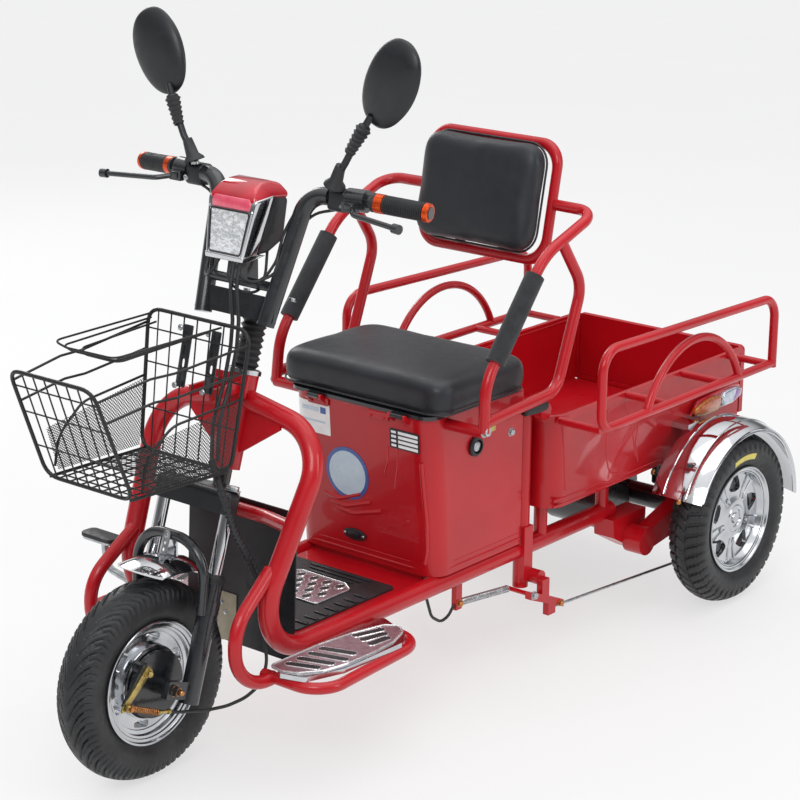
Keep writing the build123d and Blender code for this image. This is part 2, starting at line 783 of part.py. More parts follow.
# ---- load bed ------------------------------------------------------------------------
with BuildPart() as cargo_bed:
    block((-bed_half, bed_front, bed_skirt_z), (bed_half, bed_rear + 40, bed_rim_z))
    corners = edges().filter_by(Axis.Z).group_by(Axis.Y)[0]
    fillet(corners, 40)
    with BuildSketch(Plane.XY.offset(bed_rim_z - 12)) as band:
        with Locations((0, (bed_front + bed_rear + 40) / 2)):
            RectangleRounded(2 * bed_half + 14, bed_rear + 40 - bed_front + 14, 47)
    extrude(to_extrude=band.sketch, amount=12)
    with BuildSketch(Plane.XY.offset(bed_floor_z + sheet)) as load:
        with Locations((0, (bed_front + sheet + bed_rear + 60) / 2)):
            RectangleRounded(2 * (bed_half - sheet), bed_rear + 60 - bed_front - sheet, 37)
    extrude(to_extrude=load.sketch, amount=bed_rim_z, mode=Mode.SUBTRACT)
    with BuildSketch(Plane.XY.offset(bed_skirt_z - 1)) as under:
        with Locations((0, (bed_front + sheet + bed_rear + 60) / 2)):
            RectangleRounded(2 * (bed_half - sheet), bed_rear + 60 - bed_front - sheet, 37)
    extrude(to_extrude=under.sketch, amount=bed_floor_z - bed_skirt_z + 1, mode=Mode.SUBTRACT)
    block((-400, bed_rear, 0), (400, bed_rear + 80, 600), Mode.SUBTRACT)
    with BuildSketch(Plane.XY.offset(bed_floor_z - 1)) as bolts:
        with Locations((0, (bed_front + bed_rear) / 2)):
            with GridLocations(bolt_span_x, bolt_span_y, 2, 2):
                Circle(bolt_r)
    extrude(to_extrude=bolts.sketch, amount=sheet + 2, mode=Mode.SUBTRACT)
save(cargo_bed, "cargo_bed")

gate_front = bed_rear + clear
gate_hinge_z = bed_floor_z - 6
hinge_pin_r = 5
gate_low = gate_hinge_z + 14
with BuildPart() as tailgate:
    block((-bed_half, gate_front, gate_low), (bed_half, gate_front + gate_t, bed_rim_z))
    fillet(edges().filter_by(Axis.Y).group_by(Axis.Z)[-1], 12)
    for x in (-130, 130):
        block(
            (x - 20, gate_front + gate_t - 4, gate_hinge_z),
            (x + 20, gate_front + gate_t, gate_low + 24),
        )
        rod(
            Vector(x - 20, gate_front + gate_t / 2, gate_hinge_z),
            Vector(x + 20, gate_front + gate_t / 2, gate_hinge_z), 16,
        )
        rod(
            Vector(x - 30, gate_front + gate_t / 2, gate_hinge_z),
            Vector(x + 30, gate_front + gate_t / 2, gate_hinge_z),
            2 * (hinge_pin_r + fit), Mode.SUBTRACT,
        )
save(tailgate, "tailgate")

rail_low = bed_rim_z - 6
rail_front = -482
rail_rear = 154
with BuildPart() as bed_rail:
    tube(
        [
            behind(bed_rail_half, rail_rear, rail_low - 8),
            behind(bed_rail_half, rail_rear, 636),
            behind(bed_rail_half, rail_front, 650),
            behind(bed_rail_half, rail_front, rail_low),
            behind(bed_rail_half, rail_front + 70, rail_low),
        ],
        [46, 46, 30], bed_rail_d,
    )
    rod(
        behind(bed_rail_half, rail_front + 66, rail_low),
        behind(bed_rail_half, rail_rear, rail_low), bed_rail_d - 0.8,
    )
    with BuildLine() as arch:
        ThreePointArc(
            behind(bed_rail_half, -323, rail_low), behind(bed_rail_half, -148, 608),
            behind(bed_rail_half, 19, rail_low),
        )
    with BuildSketch(Plane(origin=arch.line @ 0, z_dir=arch.line % 0)) as arch_section:
        Circle(bed_rail_d / 2 - 1)
    sweep(sections=arch_section.sketch, path=arch.line)
    for y in (rail_front + 2, -245, -40, rail_rear - 12):
        rod(behind(bed_half + 7 + seat_gap, y, rail_low), behind(bed_rail_half, y, rail_low), 16)
save_pair(bed_rail, "bed_rail")

lamp_face = bed_half + 25.5
with BuildPart() as tail_lamp:
    block(behind(bed_half + seat_gap, -4, 388), behind(bed_half + 7, 174, 424))
    block(behind(bed_half + 4, -2, 396), behind(lamp_face, 95, 423))
    block(behind(bed_half + 4, 109, 390), behind(lamp_face, 172, 420))
    fillet(edges().filter_by(Axis.X), 6)
save_both(tail_lamp, "tail_lamps")

stay_z = axle_z + fender_r - 17
with BuildPart() as rear_fender:
    arched_plate(
        behind(0, 0, axle_z), 3, 153, fender_in, fender_out, fender_r + 7, 14, 3
    )
    block(behind(bed_half + seat_gap, -62, stay_z), behind(fender_in + 6, -22, stay_z + 12))
save_pair(rear_fender, "rear_fender")

# ---- rear subframe, axle, springs ----------------------------------------------------
beam = 30
arm_in = 205
arm_out = 240
beam_top = bed_floor_z - seat_gap
with BuildPart() as bed_frame:
    for side in (-1, 1):
        block(
            (side * beam_half - beam / 2, bed_front + 14, beam_top - beam),
            (side * beam_half + beam / 2, bed_rear - 4, beam_top),
        )
        for y in (-444, -228):
            rod(behind(side * beam_half, y, loop_z), behind(side * beam_half, y, beam_top - beam), 28)
        start = beam_half - 10 if side > 0 else 5 - arm_in
        side_plate(
            [
                (rear_axle_y - 240, 208), (rear_axle_y - 236, 168), (rear_axle_y - 150, 120),
                (rear_axle_y - 128, 140), (rear_axle_y - 120, 190), (rear_axle_y - 120, 208),
            ],
            start, arm_in - 5 - beam_half + 10,
        )
    for y in (bed_front + 30, rear_axle_y - 205, bed_rear - 30):
        block(
            (-beam_half, y - beam / 2, beam_top - beam), (beam_half, y + beam / 2, beam_top)
        )
    for x in (-130, 130):
        for step in (-31, 31):
            block(
                (x + step - 9, bed_rear - 20, gate_hinge_z - 9),
                (x + step + 9, gate_front + gate_t / 2 + 8, gate_hinge_z + 3),
            )
        rod(
            Vector(x - 40, gate_front + gate_t / 2, gate_hinge_z),
            Vector(x + 40, gate_front + gate_t / 2, gate_hinge_z), 2 * hinge_pin_r,
        )
    for side in (-1, 1):
        tube(
            [Vector(point.X * side, point.Y, point.Z) for point in loop_path],
            loop_bends, loop_d + 2 * fit, Mode.SUBTRACT,
        )
save(bed_frame, "bed_frame")

with BuildPart() as trailing_arm:
    side_plate(
        [
            (rear_axle_y - 200, 138), (rear_axle_y - 150, 134), (rear_axle_y + 30, 158),
            (rear_axle_y + 30, 214), (rear_axle_y - 30, 214), (rear_axle_y - 160, 176),
            (rear_axle_y - 200, 172),
        ],
        arm_in, arm_out - arm_in,
    )
    rod(behind(200 + seat_gap, -175, 155), behind(arm_out + 4, -175, 155), 60)
    rod(behind(arm_in - 1, 0, axle_z), behind(arm_out + 1, 0, axle_z), 50 + 2 * seat_gap, Mode.SUBTRACT)
save_both(trailing_arm, "trailing_arms")

hub_face = rear_track_half + rear_hub_in
with BuildPart() as rear_axle:
    rod(behind(-hub_face + 16, 0, axle_z), behind(hub_face - 16, 0, axle_z), 50)
    rod(
        behind(-rear_track_half - rear_hub_out + 11, 0, axle_z),
        behind(rear_track_half + rear_hub_out - 11, 0, axle_z), 2 * rear_shaft_r,
    )
    for side in (-1, 1):
        rod(
            behind(side * (hub_face - 16), 0, axle_z), behind(side * (hub_face - clear), 0, axle_z),
            116,
        )
    rod(behind(-50, 0, axle_z), behind(50, 0, axle_z), 140)
    rod(behind(-40, -98, axle_z), behind(104, -98, axle_z), 118)
save(rear_axle, "rear_axle")

with BuildPart() as rear_springs:
    for side in (-1, 1):
        low = behind(side * beam_half, 0, axle_z + 25 + seat_gap)
        high = behind(side * beam_half, 0, beam_top - beam - seat_gap)
        rod(low, high, 22)
        rod(low + Vector(0, 0, 14), high - Vector(0, 0, 10), 44)
save(rear_springs, "rear_springs")

rod_d = 6
lever_y = post_y - rear_axle_y + 16
rod_start = behind(214, -481, 91)
rod_end = behind(248, -16, 76)
with BuildPart() as brake_rod:
    rod(rod_start, rod_end, rod_d)
save_both(brake_rod, "brake_rods")

with BuildPart() as brake_arm:
    side_plate(
        [
            (rear_axle_y + y, z) for y, z in (
                (lever_y - 14, 160), (lever_y + 10, 160), (lever_y + 10, 121), (-438, 98),
                (-438, 82), (-452, 88), (-466, 96), (-466, 78), (-490, 78), (-490, 104),
                (-552, 130), (-552, 147), (lever_y - 14, 131),
            )
        ],
        205 + seat_gap, 14,
    )
    rod(behind(loop_half - 8, -544, 138), behind(214, -544, 138), 9)
    side_plate(
        [
            (rear_axle_y - 10, 126), (rear_axle_y + 10, 126), (rear_axle_y - 8, 66),
            (rear_axle_y - 24, 66),
        ],
        244, 6,
    )
    past = (rod_end - rod_start) * 0.01
    rod(rod_start - past, rod_end + past, rod_d + 2 * fit, Mode.SUBTRACT)
save_both(brake_arm, "rear_brake_arms")

# ---- basket --------------------------------------------------------------------------
wire = 4
rear_wall_y = 160
with BuildPart() as basket:
    side_plate(
        [
            (front_axle_y + rear_wall_y, 815), (front_axle_y + rear_wall_y, 640),
            (front_axle_y + 118, 582), (front_axle_y + 80, 563), (front_axle_y - 106, 567),
            (front_axle_y - 196, 778),
        ],
        -basket_half, 2 * basket_half,
    )
    for side in (-1, 1):
        with BuildSketch(Plane.XY.offset(500)) as taper_cut:
            with BuildLine():
                Polyline(
                    (side * basket_half, front_axle_y + rear_wall_y),
                    (side * (basket_half + 20), front_axle_y + rear_wall_y),
                    (side * (basket_half + 20), front_axle_y - 200),
                    (side * basket_front_half, front_axle_y - 200), close=True,
                )
            make_face()
        extrude(to_extrude=taper_cut.sketch, amount=400, mode=Mode.SUBTRACT)
    offset(amount=-wire, openings=faces().sort_by(Axis.Z)[-1])
save(basket, "basket")
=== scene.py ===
import json
import math

import bpy
from mathutils import Matrix, Vector


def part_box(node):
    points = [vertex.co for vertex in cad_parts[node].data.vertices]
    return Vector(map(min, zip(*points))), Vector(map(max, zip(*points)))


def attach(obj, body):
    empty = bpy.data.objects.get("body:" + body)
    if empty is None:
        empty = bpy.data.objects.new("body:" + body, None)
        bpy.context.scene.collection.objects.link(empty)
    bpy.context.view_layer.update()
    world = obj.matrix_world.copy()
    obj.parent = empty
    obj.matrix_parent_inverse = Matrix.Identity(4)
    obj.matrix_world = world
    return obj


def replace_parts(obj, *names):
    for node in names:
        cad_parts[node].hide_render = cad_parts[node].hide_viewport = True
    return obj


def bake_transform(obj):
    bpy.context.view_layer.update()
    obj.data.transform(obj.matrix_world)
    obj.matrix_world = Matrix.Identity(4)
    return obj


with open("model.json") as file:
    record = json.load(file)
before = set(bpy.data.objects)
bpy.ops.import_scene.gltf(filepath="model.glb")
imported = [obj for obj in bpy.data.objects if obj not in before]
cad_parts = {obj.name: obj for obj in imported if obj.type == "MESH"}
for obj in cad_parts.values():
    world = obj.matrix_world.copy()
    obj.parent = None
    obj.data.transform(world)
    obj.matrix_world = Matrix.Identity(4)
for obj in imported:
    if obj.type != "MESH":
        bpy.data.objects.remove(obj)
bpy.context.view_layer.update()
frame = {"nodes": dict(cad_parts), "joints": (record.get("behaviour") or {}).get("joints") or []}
nodes = frame["nodes"]
sides = (("left", 1), ("right", -1))
print("frame loaded", len(nodes), "nodes")


# Middle of a CAD node's box, in metres.
def middleOf(node):
    low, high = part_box(node)
    return (low + high) / 2


frontAxle = middleOf("front_tyre")
rearAxle = middleOf("rear_tyre_left")
rearTrack = rearAxle.x * 1000
rearAxle.x = 0.0
steering = [joint for joint in frame["joints"] if joint["name"] == "steering"][0]
steerPoint = Vector(steering["pos_m"])
steerUp = Vector(steering["axis"]).normalized()
steerBack = steerUp.cross(Vector((1, 0, 0))) * -1
if steerBack.y < 0:
    steerBack = -steerBack


# Points in mm: from the front axle, from the rear axle, and on the fork.
def fromFront(x, y, z):
    return Vector((x / 1000, frontAxle.y + y / 1000, z / 1000))


def fromRear(x, y, z):
    return Vector((x / 1000, rearAxle.y + y / 1000, z / 1000))


def frontPath(*points):
    return [fromFront(*point) for point in points]


def rearPath(*points):
    return [fromRear(*point) for point in points]


def onFork(x, back, up):
    return steerPoint + Vector((x / 1000, 0, 0)) + steerBack * back / 1000 + steerUp * up / 1000


# Unit direction round a wheel: 0 points back, a quarter turn points up.
def around(angle):
    return Vector((0, math.cos(angle), math.sin(angle)))


# Places something at one point so that it looks at another.
def looking(place, aim):
    return Matrix.Translation(place) @ (aim - place).to_track_quat("-Z", "Y").to_matrix().to_4x4()


# Camera: place and aim in metres, lens and sensor in mm, roll in degrees.
cameraLook = {
    "place": Vector((2.8556, -3.4791, 1.9070)), "aim": Vector((0.467215, -0.574873, 0.761832)),
    "lens": 108.2006, "sensor": 36, "roll": 0.4827, "resolution": 800,
}
scene = bpy.context.scene
cameraData = bpy.data.cameras.new("camera")
camera = bpy.data.objects.new("camera", cameraData)
scene.collection.objects.link(camera)
cameraData.lens = cameraLook["lens"]
cameraData.sensor_width = cameraLook["sensor"]
cameraData.clip_end = 200
camera.matrix_world = looking(cameraLook["place"], cameraLook["aim"]) @ Matrix.Rotation(
    math.radians(cameraLook["roll"]), 4, "Z")
scene.camera = camera
scene.render.resolution_x = cameraLook["resolution"]
scene.render.resolution_y = cameraLook["resolution"]
scene.view_settings.view_transform = "Standard"

# Studio light: soft boxes, each with its place, width and height in metres and its power in watts.
lights = {
    "keyLight": ((1.8, -3.6, 3.4), 2.2, 1.6, 58),
    "sideLight": ((4.2, 0.6, 2.0), 1.2, 2.4, 30),
    "farLight": ((-3.6, 1.6, 2.6), 1.0, 2.4, 36),
    "topLight": ((0.2, 0.3, 4.2), 3.2, 3.2, 34),
}
lightAim = Vector((0, 0, 0.6))
for name, (place, width, height, power) in lights.items():
    data = bpy.data.lights.new(name, "AREA")
    data.shape = "RECTANGLE"
    data.size = width
    data.size_y = height
    data.energy = power
    light = bpy.data.objects.new(name, data)
    scene.collection.objects.link(light)
    light.matrix_world = looking(Vector(place), lightAim)


# Adds a shader node, sets its inputs and links what is given as a node output.
def addNode(tree, kind, inputs=None, **settings):
    node = tree.nodes.new("ShaderNode" + kind)
    for name, value in settings.items():
        setattr(node, name, value)
    for name, value in (inputs or {}).items():
        if isinstance(value, bpy.types.NodeSocket):
            tree.links.new(value, node.inputs[name])
        else:
            node.inputs[name].default_value = value
    return node


# sRGB hex to the linear colour that the shaders take.
def hexToLinear(text):
    parts = [int(text[i : i + 2], 16) / 255 for i in (0, 2, 4)]
    linear = [part / 12.92 if part <= 0.04045 else ((part + 0.055) / 1.055) ** 2.4
              for part in parts]
    return (*linear, 1.0)


# Sky: brightness from the horizon (0) to overhead (1), with a trace of blue.
skyLook = {
    "stops": [(0.0, 0.84), (0.06, 0.36), (0.20, 0.13), (0.42, 0.55), (0.75, 1.1), (1.0, 1.3)],
    "blue": 1.01, "strength": 0.95,
}
world = bpy.data.worlds.new("studio")
scene.world = world
world.use_nodes = True
worldTree = world.node_tree
worldTree.nodes.clear()
direction = addNode(worldTree, "TexCoord")
heights = addNode(worldTree, "SeparateXYZ", {"Vector": direction.outputs["Generated"]})
sky = addNode(worldTree, "ValToRGB", {"Fac": heights.outputs["Z"]})
while len(sky.color_ramp.elements) < len(skyLook["stops"]):
    sky.color_ramp.elements.new(0.5)
for element, (place, level) in zip(sky.color_ramp.elements, skyLook["stops"]):
    element.position = place
    element.color = (level, level, level * skyLook["blue"], 1)
backdrop = addNode(worldTree, "Background",
                   {"Color": sky.outputs["Color"], "Strength": skyLook["strength"]})
addNode(worldTree, "OutputWorld", {"Surface": backdrop.outputs["Background"]})

colourFirst, colourSecond, colourMixed = 6, 7, 2  # Sockets of the mix node when it mixes colours.
textures = {"cells": "TexVoronoi", "facets": "TexVoronoi", "lines": "TexWave", "noise": "TexNoise"}


# One procedural surface on Object coordinates, with sizes in mm: patch is the colour drift, wear
# the roughness drift, and each bump has its kind, the size of its cells and its height.
def surface(name, colour, shade, patch, rough, wear, bumps, **look):
    material = bpy.data.materials.new(name)
    material.use_nodes = True
    tree = material.node_tree
    shader = tree.nodes["Principled BSDF"]
    where = addNode(tree, "TexCoord").outputs["Object"]
    drift = addNode(tree, "TexNoise", {"Vector": where, "Scale": 1000 / patch, "Detail": 5.0})
    spread = addNode(tree, "MapRange",
                     {"Value": drift.outputs["Fac"], "From Min": 0.35, "From Max": 0.68})
    mixed = addNode(tree, "Mix", {"Factor": spread.outputs["Result"]}, data_type="RGBA")
    mixed.inputs[colourFirst].default_value = hexToLinear(colour)
    mixed.inputs[colourSecond].default_value = hexToLinear(shade)
    tree.links.new(mixed.outputs[colourMixed], shader.inputs["Base Color"])
    worn = addNode(tree, "TexNoise", {"Vector": where, "Scale": 1000 / wear, "Detail": 6.0})
    roughness = addNode(tree, "MapRange", {"Value": worn.outputs["Fac"], "From Min": 0.3,
                                           "From Max": 0.7, "To Min": rough[0], "To Max": rough[1]})
    tree.links.new(roughness.outputs["Result"], shader.inputs["Roughness"])
    for key, socket, plain in (
        ("metal", "Metallic", 0.0), ("coat", "Coat Weight", 0.0),
        ("coatRough", "Coat Roughness", 0.04), ("sheen", "Sheen Weight", 0.0),
        ("specular", "Specular IOR Level", 0.5),
    ):
        shader.inputs[socket].default_value = look.get(key, plain)
    for kind, size, deep in bumps:
        texture = addNode(tree, textures[kind], {"Vector": where, "Scale": 1000 / size})
        if kind == "facets":
            texture.distance = "CHEBYCHEV"
        elif kind == "lines":
            texture.inputs["Scale"].default_value = 1000 / size / 6.283
            texture.inputs["Distortion"].default_value = 0.4
        elif kind == "noise":
            texture.inputs["Detail"].default_value = 3.0
        height = texture.outputs["Distance" if "Distance" in texture.outputs else "Fac"]
        bump = addNode(tree, "Bump", {"Height": height, "Distance": deep / 1000, "Strength": 1.0})
        if shader.inputs["Normal"].is_linked:
            tree.links.new(shader.inputs["Normal"].links[0].from_socket, bump.inputs["Normal"])
        tree.links.new(bump.outputs["Normal"], shader.inputs["Normal"])
    return material


# Red baked enamel with its orange peel, the main colour of the machine.
redEnamel = surface("redEnamel", "BE0C1B", "AB0915",
    patch=240, rough=(0.3, 0.42), wear=40, specular=0.3, coat=0.45, coatRough=0.06,
    bumps=[("noise", 5, 0.035), ("noise", 1.2, 0.004)])
# Black powder coat on the fork, bars and basket wire.
blackEnamel = surface("blackEnamel", "17191C", "212429",
    patch=90, rough=(0.2, 0.36), wear=18, coat=0.55, coatRough=0.12, bumps=[("noise", 1.6, 0.02)])
# Pale tan primer on the small bracket ahead of the floor.
tanPaint = surface("tanPaint", "B4AC96", "A19982",
    patch=30, rough=(0.4, 0.55), wear=9, bumps=[("noise", 2, 0.03)])
# Black plastic coating of the thin basket wires.
wireBlack = surface("wireBlack", "0C0D0F", "131416",
    patch=60, rough=(0.34, 0.5), wear=14, bumps=[("noise", 1.2, 0.01)])
# Bright chrome over pressed steel.
chromePlate = surface("chromePlate", "DADCDF", "C6C8CC",
    patch=120, rough=(0.04, 0.11), wear=30, metal=1.0,
    bumps=[("noise", 60, 0.25), ("noise", 9, 0.012)])
# Polished cast aluminium, with the fine grain of its polish.
castAlloy = surface("castAlloy", "D2D4D7", "B9BCC0",
    patch=70, rough=(0.1, 0.24), wear=12, metal=1.0,
    bumps=[("noise", 12, 0.05), ("noise", 1.0, 0.006)])
# Tyre rubber: matt, with a dry bloom on its shoulders.
tyreRubber = surface("tyreRubber", "1B1C1E", "2A2B2D",
    patch=45, rough=(0.36, 0.56), wear=8, specular=0.45,
    bumps=[("noise", 1.1, 0.06), ("noise", 14, 0.1)])
# Moulded rubber of mats, bellows and grips.
blackRubber = surface("blackRubber", "1D1E20", "292A2D",
    patch=60, rough=(0.42, 0.6), wear=10, bumps=[("cells", 1.4, 0.05)])
# Grained seat vinyl over foam.
seatVinyl = surface("seatVinyl", "14171D", "1D2128",
    patch=130, rough=(0.36, 0.5), wear=25, sheen=0.08,
    bumps=[("cells", 1.7, 0.09), ("noise", 26, 0.5)])
# Injection moulded black plastic, satin.
blackPlastic = surface("blackPlastic", "14161A", "1E2025",
    patch=80, rough=(0.3, 0.46), wear=16, bumps=[("noise", 0.9, 0.03)])
# Glossy black plastic of the seam round the headlight.
glossPlastic = surface("glossPlastic", "101113", "16181B",
    patch=90, rough=(0.08, 0.18), wear=30, coat=0.6, bumps=[("noise", 30, 0.04)])
# Bright zinc plate on bolts and rods.
zincSteel = surface("zincSteel", "C4C7C9", "9FA3A7",
    patch=14, rough=(0.22, 0.4), wear=5, metal=1.0, bumps=[("noise", 1.2, 0.02)])
# Yellow passivated zinc of the brake arm.
goldZinc = surface("goldZinc", "C9B26A", "9D8B5C",
    patch=9, rough=(0.24, 0.42), wear=5, metal=1.0, bumps=[("noise", 1.0, 0.02)])
# Brass and copper of the axle nut and fender bolts.
brassNut = surface("brassNut", "C98B5A", "B07B45",
    patch=7, rough=(0.22, 0.36), wear=4, metal=1.0, bumps=[("noise", 1.0, 0.02)])
# Orange anodised rings on the grips.
orangeAnodised = surface("orangeAnodised", "E2541F", "C9441A",
    patch=12, rough=(0.22, 0.34), wear=5, metal=0.75, bumps=[("lines", 0.8, 0.02)])
# Open-cell foam of the arm sleeves.
sleeveFoam = surface("sleeveFoam", "222326", "2E2F33",
    patch=35, rough=(0.8, 0.95), wear=6, sheen=0.15,
    bumps=[("cells", 1.1, 0.22), ("noise", 9, 0.2)])
# Deep red moulded lamp cover.
redLens = surface("redLens", "C4122A", "A60C20",
    patch=40, rough=(0.05, 0.12), wear=25, coat=1.0, bumps=[("noise", 18, 0.06)])
# Pale red window that fades into the top of the headlight.
pinkLens = surface("pinkLens", "E8687E", "D8405C",
    patch=30, rough=(0.06, 0.14), wear=25, coat=1.0, bumps=[("noise", 18, 0.06)])
# Amber indicator lens with prisms inside.
amberLens = surface("amberLens", "D4690E", "9A3A08",
    patch=9, rough=(0.06, 0.14), wear=12, coat=1.0, bumps=[("facets", 4, 0.5)])
# Clear lens over a silver bowl.
clearLens = surface("clearLens", "D8DEE8", "AEB8C8",
    patch=12, rough=(0.05, 0.12), wear=12, metal=0.7, coat=1.0, bumps=[("facets", 5, 0.4)])
# Lilac tinted rear part of the tail lamp.
lilacLens = surface("lilacLens", "B98CC0", "8E6AA6",
    patch=16, rough=(0.06, 0.14), wear=12, metal=0.3, coat=1.0, bumps=[("facets", 6, 0.3)])
# Faceted headlight bowl behind its clear cover.
facetBowl = surface("facetBowl", "F4F6F8", "DCE0E4",
    patch=10, rough=(0.1, 0.2), wear=10, metal=0.55, coat=1.0,
    bumps=[("facets", 13, 2.4), ("cells", 6, 0.5)])
# Mirror glass.
mirrorGlass = surface("mirrorGlass", "E6EAEC", "DDE2E5",
    patch=200, rough=(0.01, 0.03), wear=60, metal=1.0, bumps=[("noise", 120, 0.01)])
# Blank paper and film labels.
paperFilm = surface("paperFilm", "F7F8F8", "EEF0F1",
    patch=20, rough=(0.25, 0.4), wear=9, coat=0.5, bumps=[("noise", 3, 0.01)])
skyFilm = surface("skyFilm", "C9DCE8", "BCD2E2",
    patch=30, rough=(0.25, 0.4), wear=9, coat=0.5, bumps=[("noise", 3, 0.01)])
blueFilm = surface("blueFilm", "2F5AA8", "2A4F97",
    patch=25, rough=(0.25, 0.4), wear=9, coat=0.5, bumps=[("noise", 3, 0.01)])
yellowFilm = surface("yellowFilm", "D9CC62", "CBBD50",
    patch=18, rough=(0.3, 0.5), wear=8, bumps=[("noise", 2, 0.02)])
# Silver-printed tread plate: mauve tinted aluminium with bright rolled rims.
treadPlate = surface("treadPlate", "B79AA2", "9A8088",
    patch=12, rough=(0.3, 0.5), wear=6, metal=0.75, bumps=[("noise", 2.2, 0.1)])
brightRim = surface("brightRim", "EDEDEE", "D5D6D8",
    patch=12, rough=(0.18, 0.32), wear=6, metal=0.8, bumps=[("noise", 1.5, 0.02)])
# Pale studio floor with a glow of its own, so that it reads as one even tone.
floorPaint = surface("floorPaint", "8B8B8B", "898989",
    patch=900, rough=(0.6, 0.7), wear=300, specular=0.1, bumps=[("noise", 40, 0.02)])
for node in floorPaint.node_tree.nodes:
    if node.type == "BSDF_PRINCIPLED":
        node.inputs["Emission Color"].default_value = (1, 1, 1, 1)
        node.inputs["Emission Strength"].default_value = 0.64
slotMaterial = {
    "red_paint": redEnamel, "black_paint": blackEnamel, "chrome_plate": chromePlate,
    "cast_alloy": castAlloy, "tyre_rubber": tyreRubber, "black_rubber": blackRubber,
    "seat_vinyl": seatVinyl, "black_plastic": blackPlastic, "lamp_plastic": amberLens,
    "zinc_steel": zincSteel, "sleeve_foam": sleeveFoam, "red_plastic": redLens,
}
for node in nodes.values():
    for index, material in enumerate(node.data.materials):
        node.data.materials[index] = slotMaterial[material.name.split(".")[0]]
print("materials set")



def deselectAll():
    if bpy.context.object and bpy.context.object.mode != "OBJECT":
        bpy.ops.object.mode_set(mode="OBJECT")
    bpy.ops.object.select_all(action="DESELECT")


def pick(piece):
    deselectAll()
    piece.select_set(True)
    bpy.context.view_layer.objects.active = piece


def editAll(piece):
    pick(piece)
    bpy.ops.object.mode_set(mode="EDIT")
    bpy.ops.mesh.select_all(action="SELECT")


def leaveEdit():
    bpy.ops.object.mode_set(mode="OBJECT")


# Turns local Z to a direction, with local X as level as it can be.
def facing(place, direction, across=None):
    up = Vector(direction).normalized()
    side = Vector(across) if across is not None else Vector((0, 0, 1)).cross(up)
    if side.length < 1e-4:
        side = Vector((1, 0, 0))
    side = (side - up * side.dot(up)).normalized()
    frameAxes = Matrix((side, up.cross(side), up)).transposed().to_4x4()
    return Matrix.Translation(place) @ frameAxes


def settle(piece, matrix):
    piece.matrix_world = matrix
    pick(piece)
    bpy.ops.object.transform_apply(location=True, rotation=True, scale=True)
    return piece


# A loop of edges through points in mm.
def edgeLoop(points, closed=True):
    deselectAll()
    bpy.ops.mesh.primitive_circle_add(vertices=len(points), radius=1, fill_type="NOTHING")
    piece = bpy.context.object
    for vertex, point in zip(piece.data.vertices, points):
        vertex.co = Vector(point) / 1000
    if not closed:
        last = len(points) - 1
        editAll(piece)
        bpy.ops.mesh.select_all(action="DESELECT")
        leaveEdit()
        for edge in piece.data.edges:
            edge.select = set(edge.vertices) == {0, last}
        bpy.ops.object.mode_set(mode="EDIT")
        bpy.ops.mesh.select_mode(type="EDGE")
        bpy.ops.mesh.delete(type="EDGE")
        bpy.ops.mesh.select_mode(type="VERT")
        leaveEdit()
    return piece


# Spins a (height, radius) profile in mm about an axis that starts at place.
def spun(profile, place, direction, steps=48, closed=False):
    piece = edgeLoop([(radius, 0, height) for height, radius in profile], closed)
    editAll(piece)
    bpy.ops.mesh.spin(steps=steps, angle=math.tau, center=(0, 0, 0), axis=(0, 0, 1))
    bpy.ops.mesh.select_all(action="SELECT")
    bpy.ops.mesh.remove_doubles(threshold=1e-5)
    bpy.ops.mesh.normals_make_consistent(inside=False)
    leaveEdit()
    return settle(piece, facing(place, direction))


# A path with its corners rounded to a radius, points in metres and radius in mm.
def rounded(points, radius, closed=False, steps=6):
    count = len(points)
    path = []
    for index, point in enumerate(points):
        if radius <= 0 or (not closed and index in (0, count - 1)):
            path.append(point)
            continue
        before = points[index - 1] - point
        after = points[(index + 1) % count] - point
        bend = math.pi - before.angle(after)
        if bend < 0.02:
            path.append(point)
            continue
        reach = min(before.length, after.length) * 0.48
        cutBack = min(radius / 1000 * math.tan(bend / 2), reach)
        first = point + before.normalized() * cutBack
        second = point + after.normalized() * cutBack
        for step in range(steps + 1):
            share = step / steps
            path.append(first.lerp(point, share).lerp(point.lerp(second, share), share))
    return path


# Round wires of one radius along several paths, as one mesh.
def wires(paths, radius, corner=0, closed=False, sides=8):
    curve = bpy.data.curves.new("wire", "CURVE")
    curve.dimensions = "3D"
    curve.bevel_depth = radius / 1000
    curve.bevel_resolution = max(0, (sides - 4) // 2)
    curve.use_fill_caps = True
    for points in paths:
        path = rounded(points, corner, closed)
        spline = curve.splines.new("POLY")
        spline.points.add(len(path) - 1)
        for slot, place in zip(spline.points, path):
            slot.co = (*place, 1)
        spline.use_cyclic_u = closed
    piece = bpy.data.objects.new("wire", curve)
    bpy.context.scene.collection.objects.link(piece)
    pick(piece)
    bpy.ops.object.convert(target="MESH")
    return bpy.context.object


def soften(piece, width, segments=2, angle=35):
    pick(piece)
    bevel = piece.modifiers.new("bevel", "BEVEL")
    bevel.width = width / 1000
    bevel.segments = segments
    bevel.limit_method = "ANGLE"
    bevel.angle_limit = math.radians(angle)
    bpy.ops.object.modifier_apply(modifier="bevel")
    return piece


# A block in mm, with its edges rounded, set by a matrix.
def block(size, matrix, edge=1.5, segments=2):
    deselectAll()
    bpy.ops.mesh.primitive_cube_add(size=1)
    piece = bpy.context.object
    piece.scale = Vector(size) / 1000
    bpy.ops.object.transform_apply(location=False, rotation=False, scale=True)
    editAll(piece)
    if edge:
        bpy.ops.mesh.bevel(offset=edge / 1000, segments=segments, affect="EDGES")
    leaveEdit()
    return settle(piece, matrix)


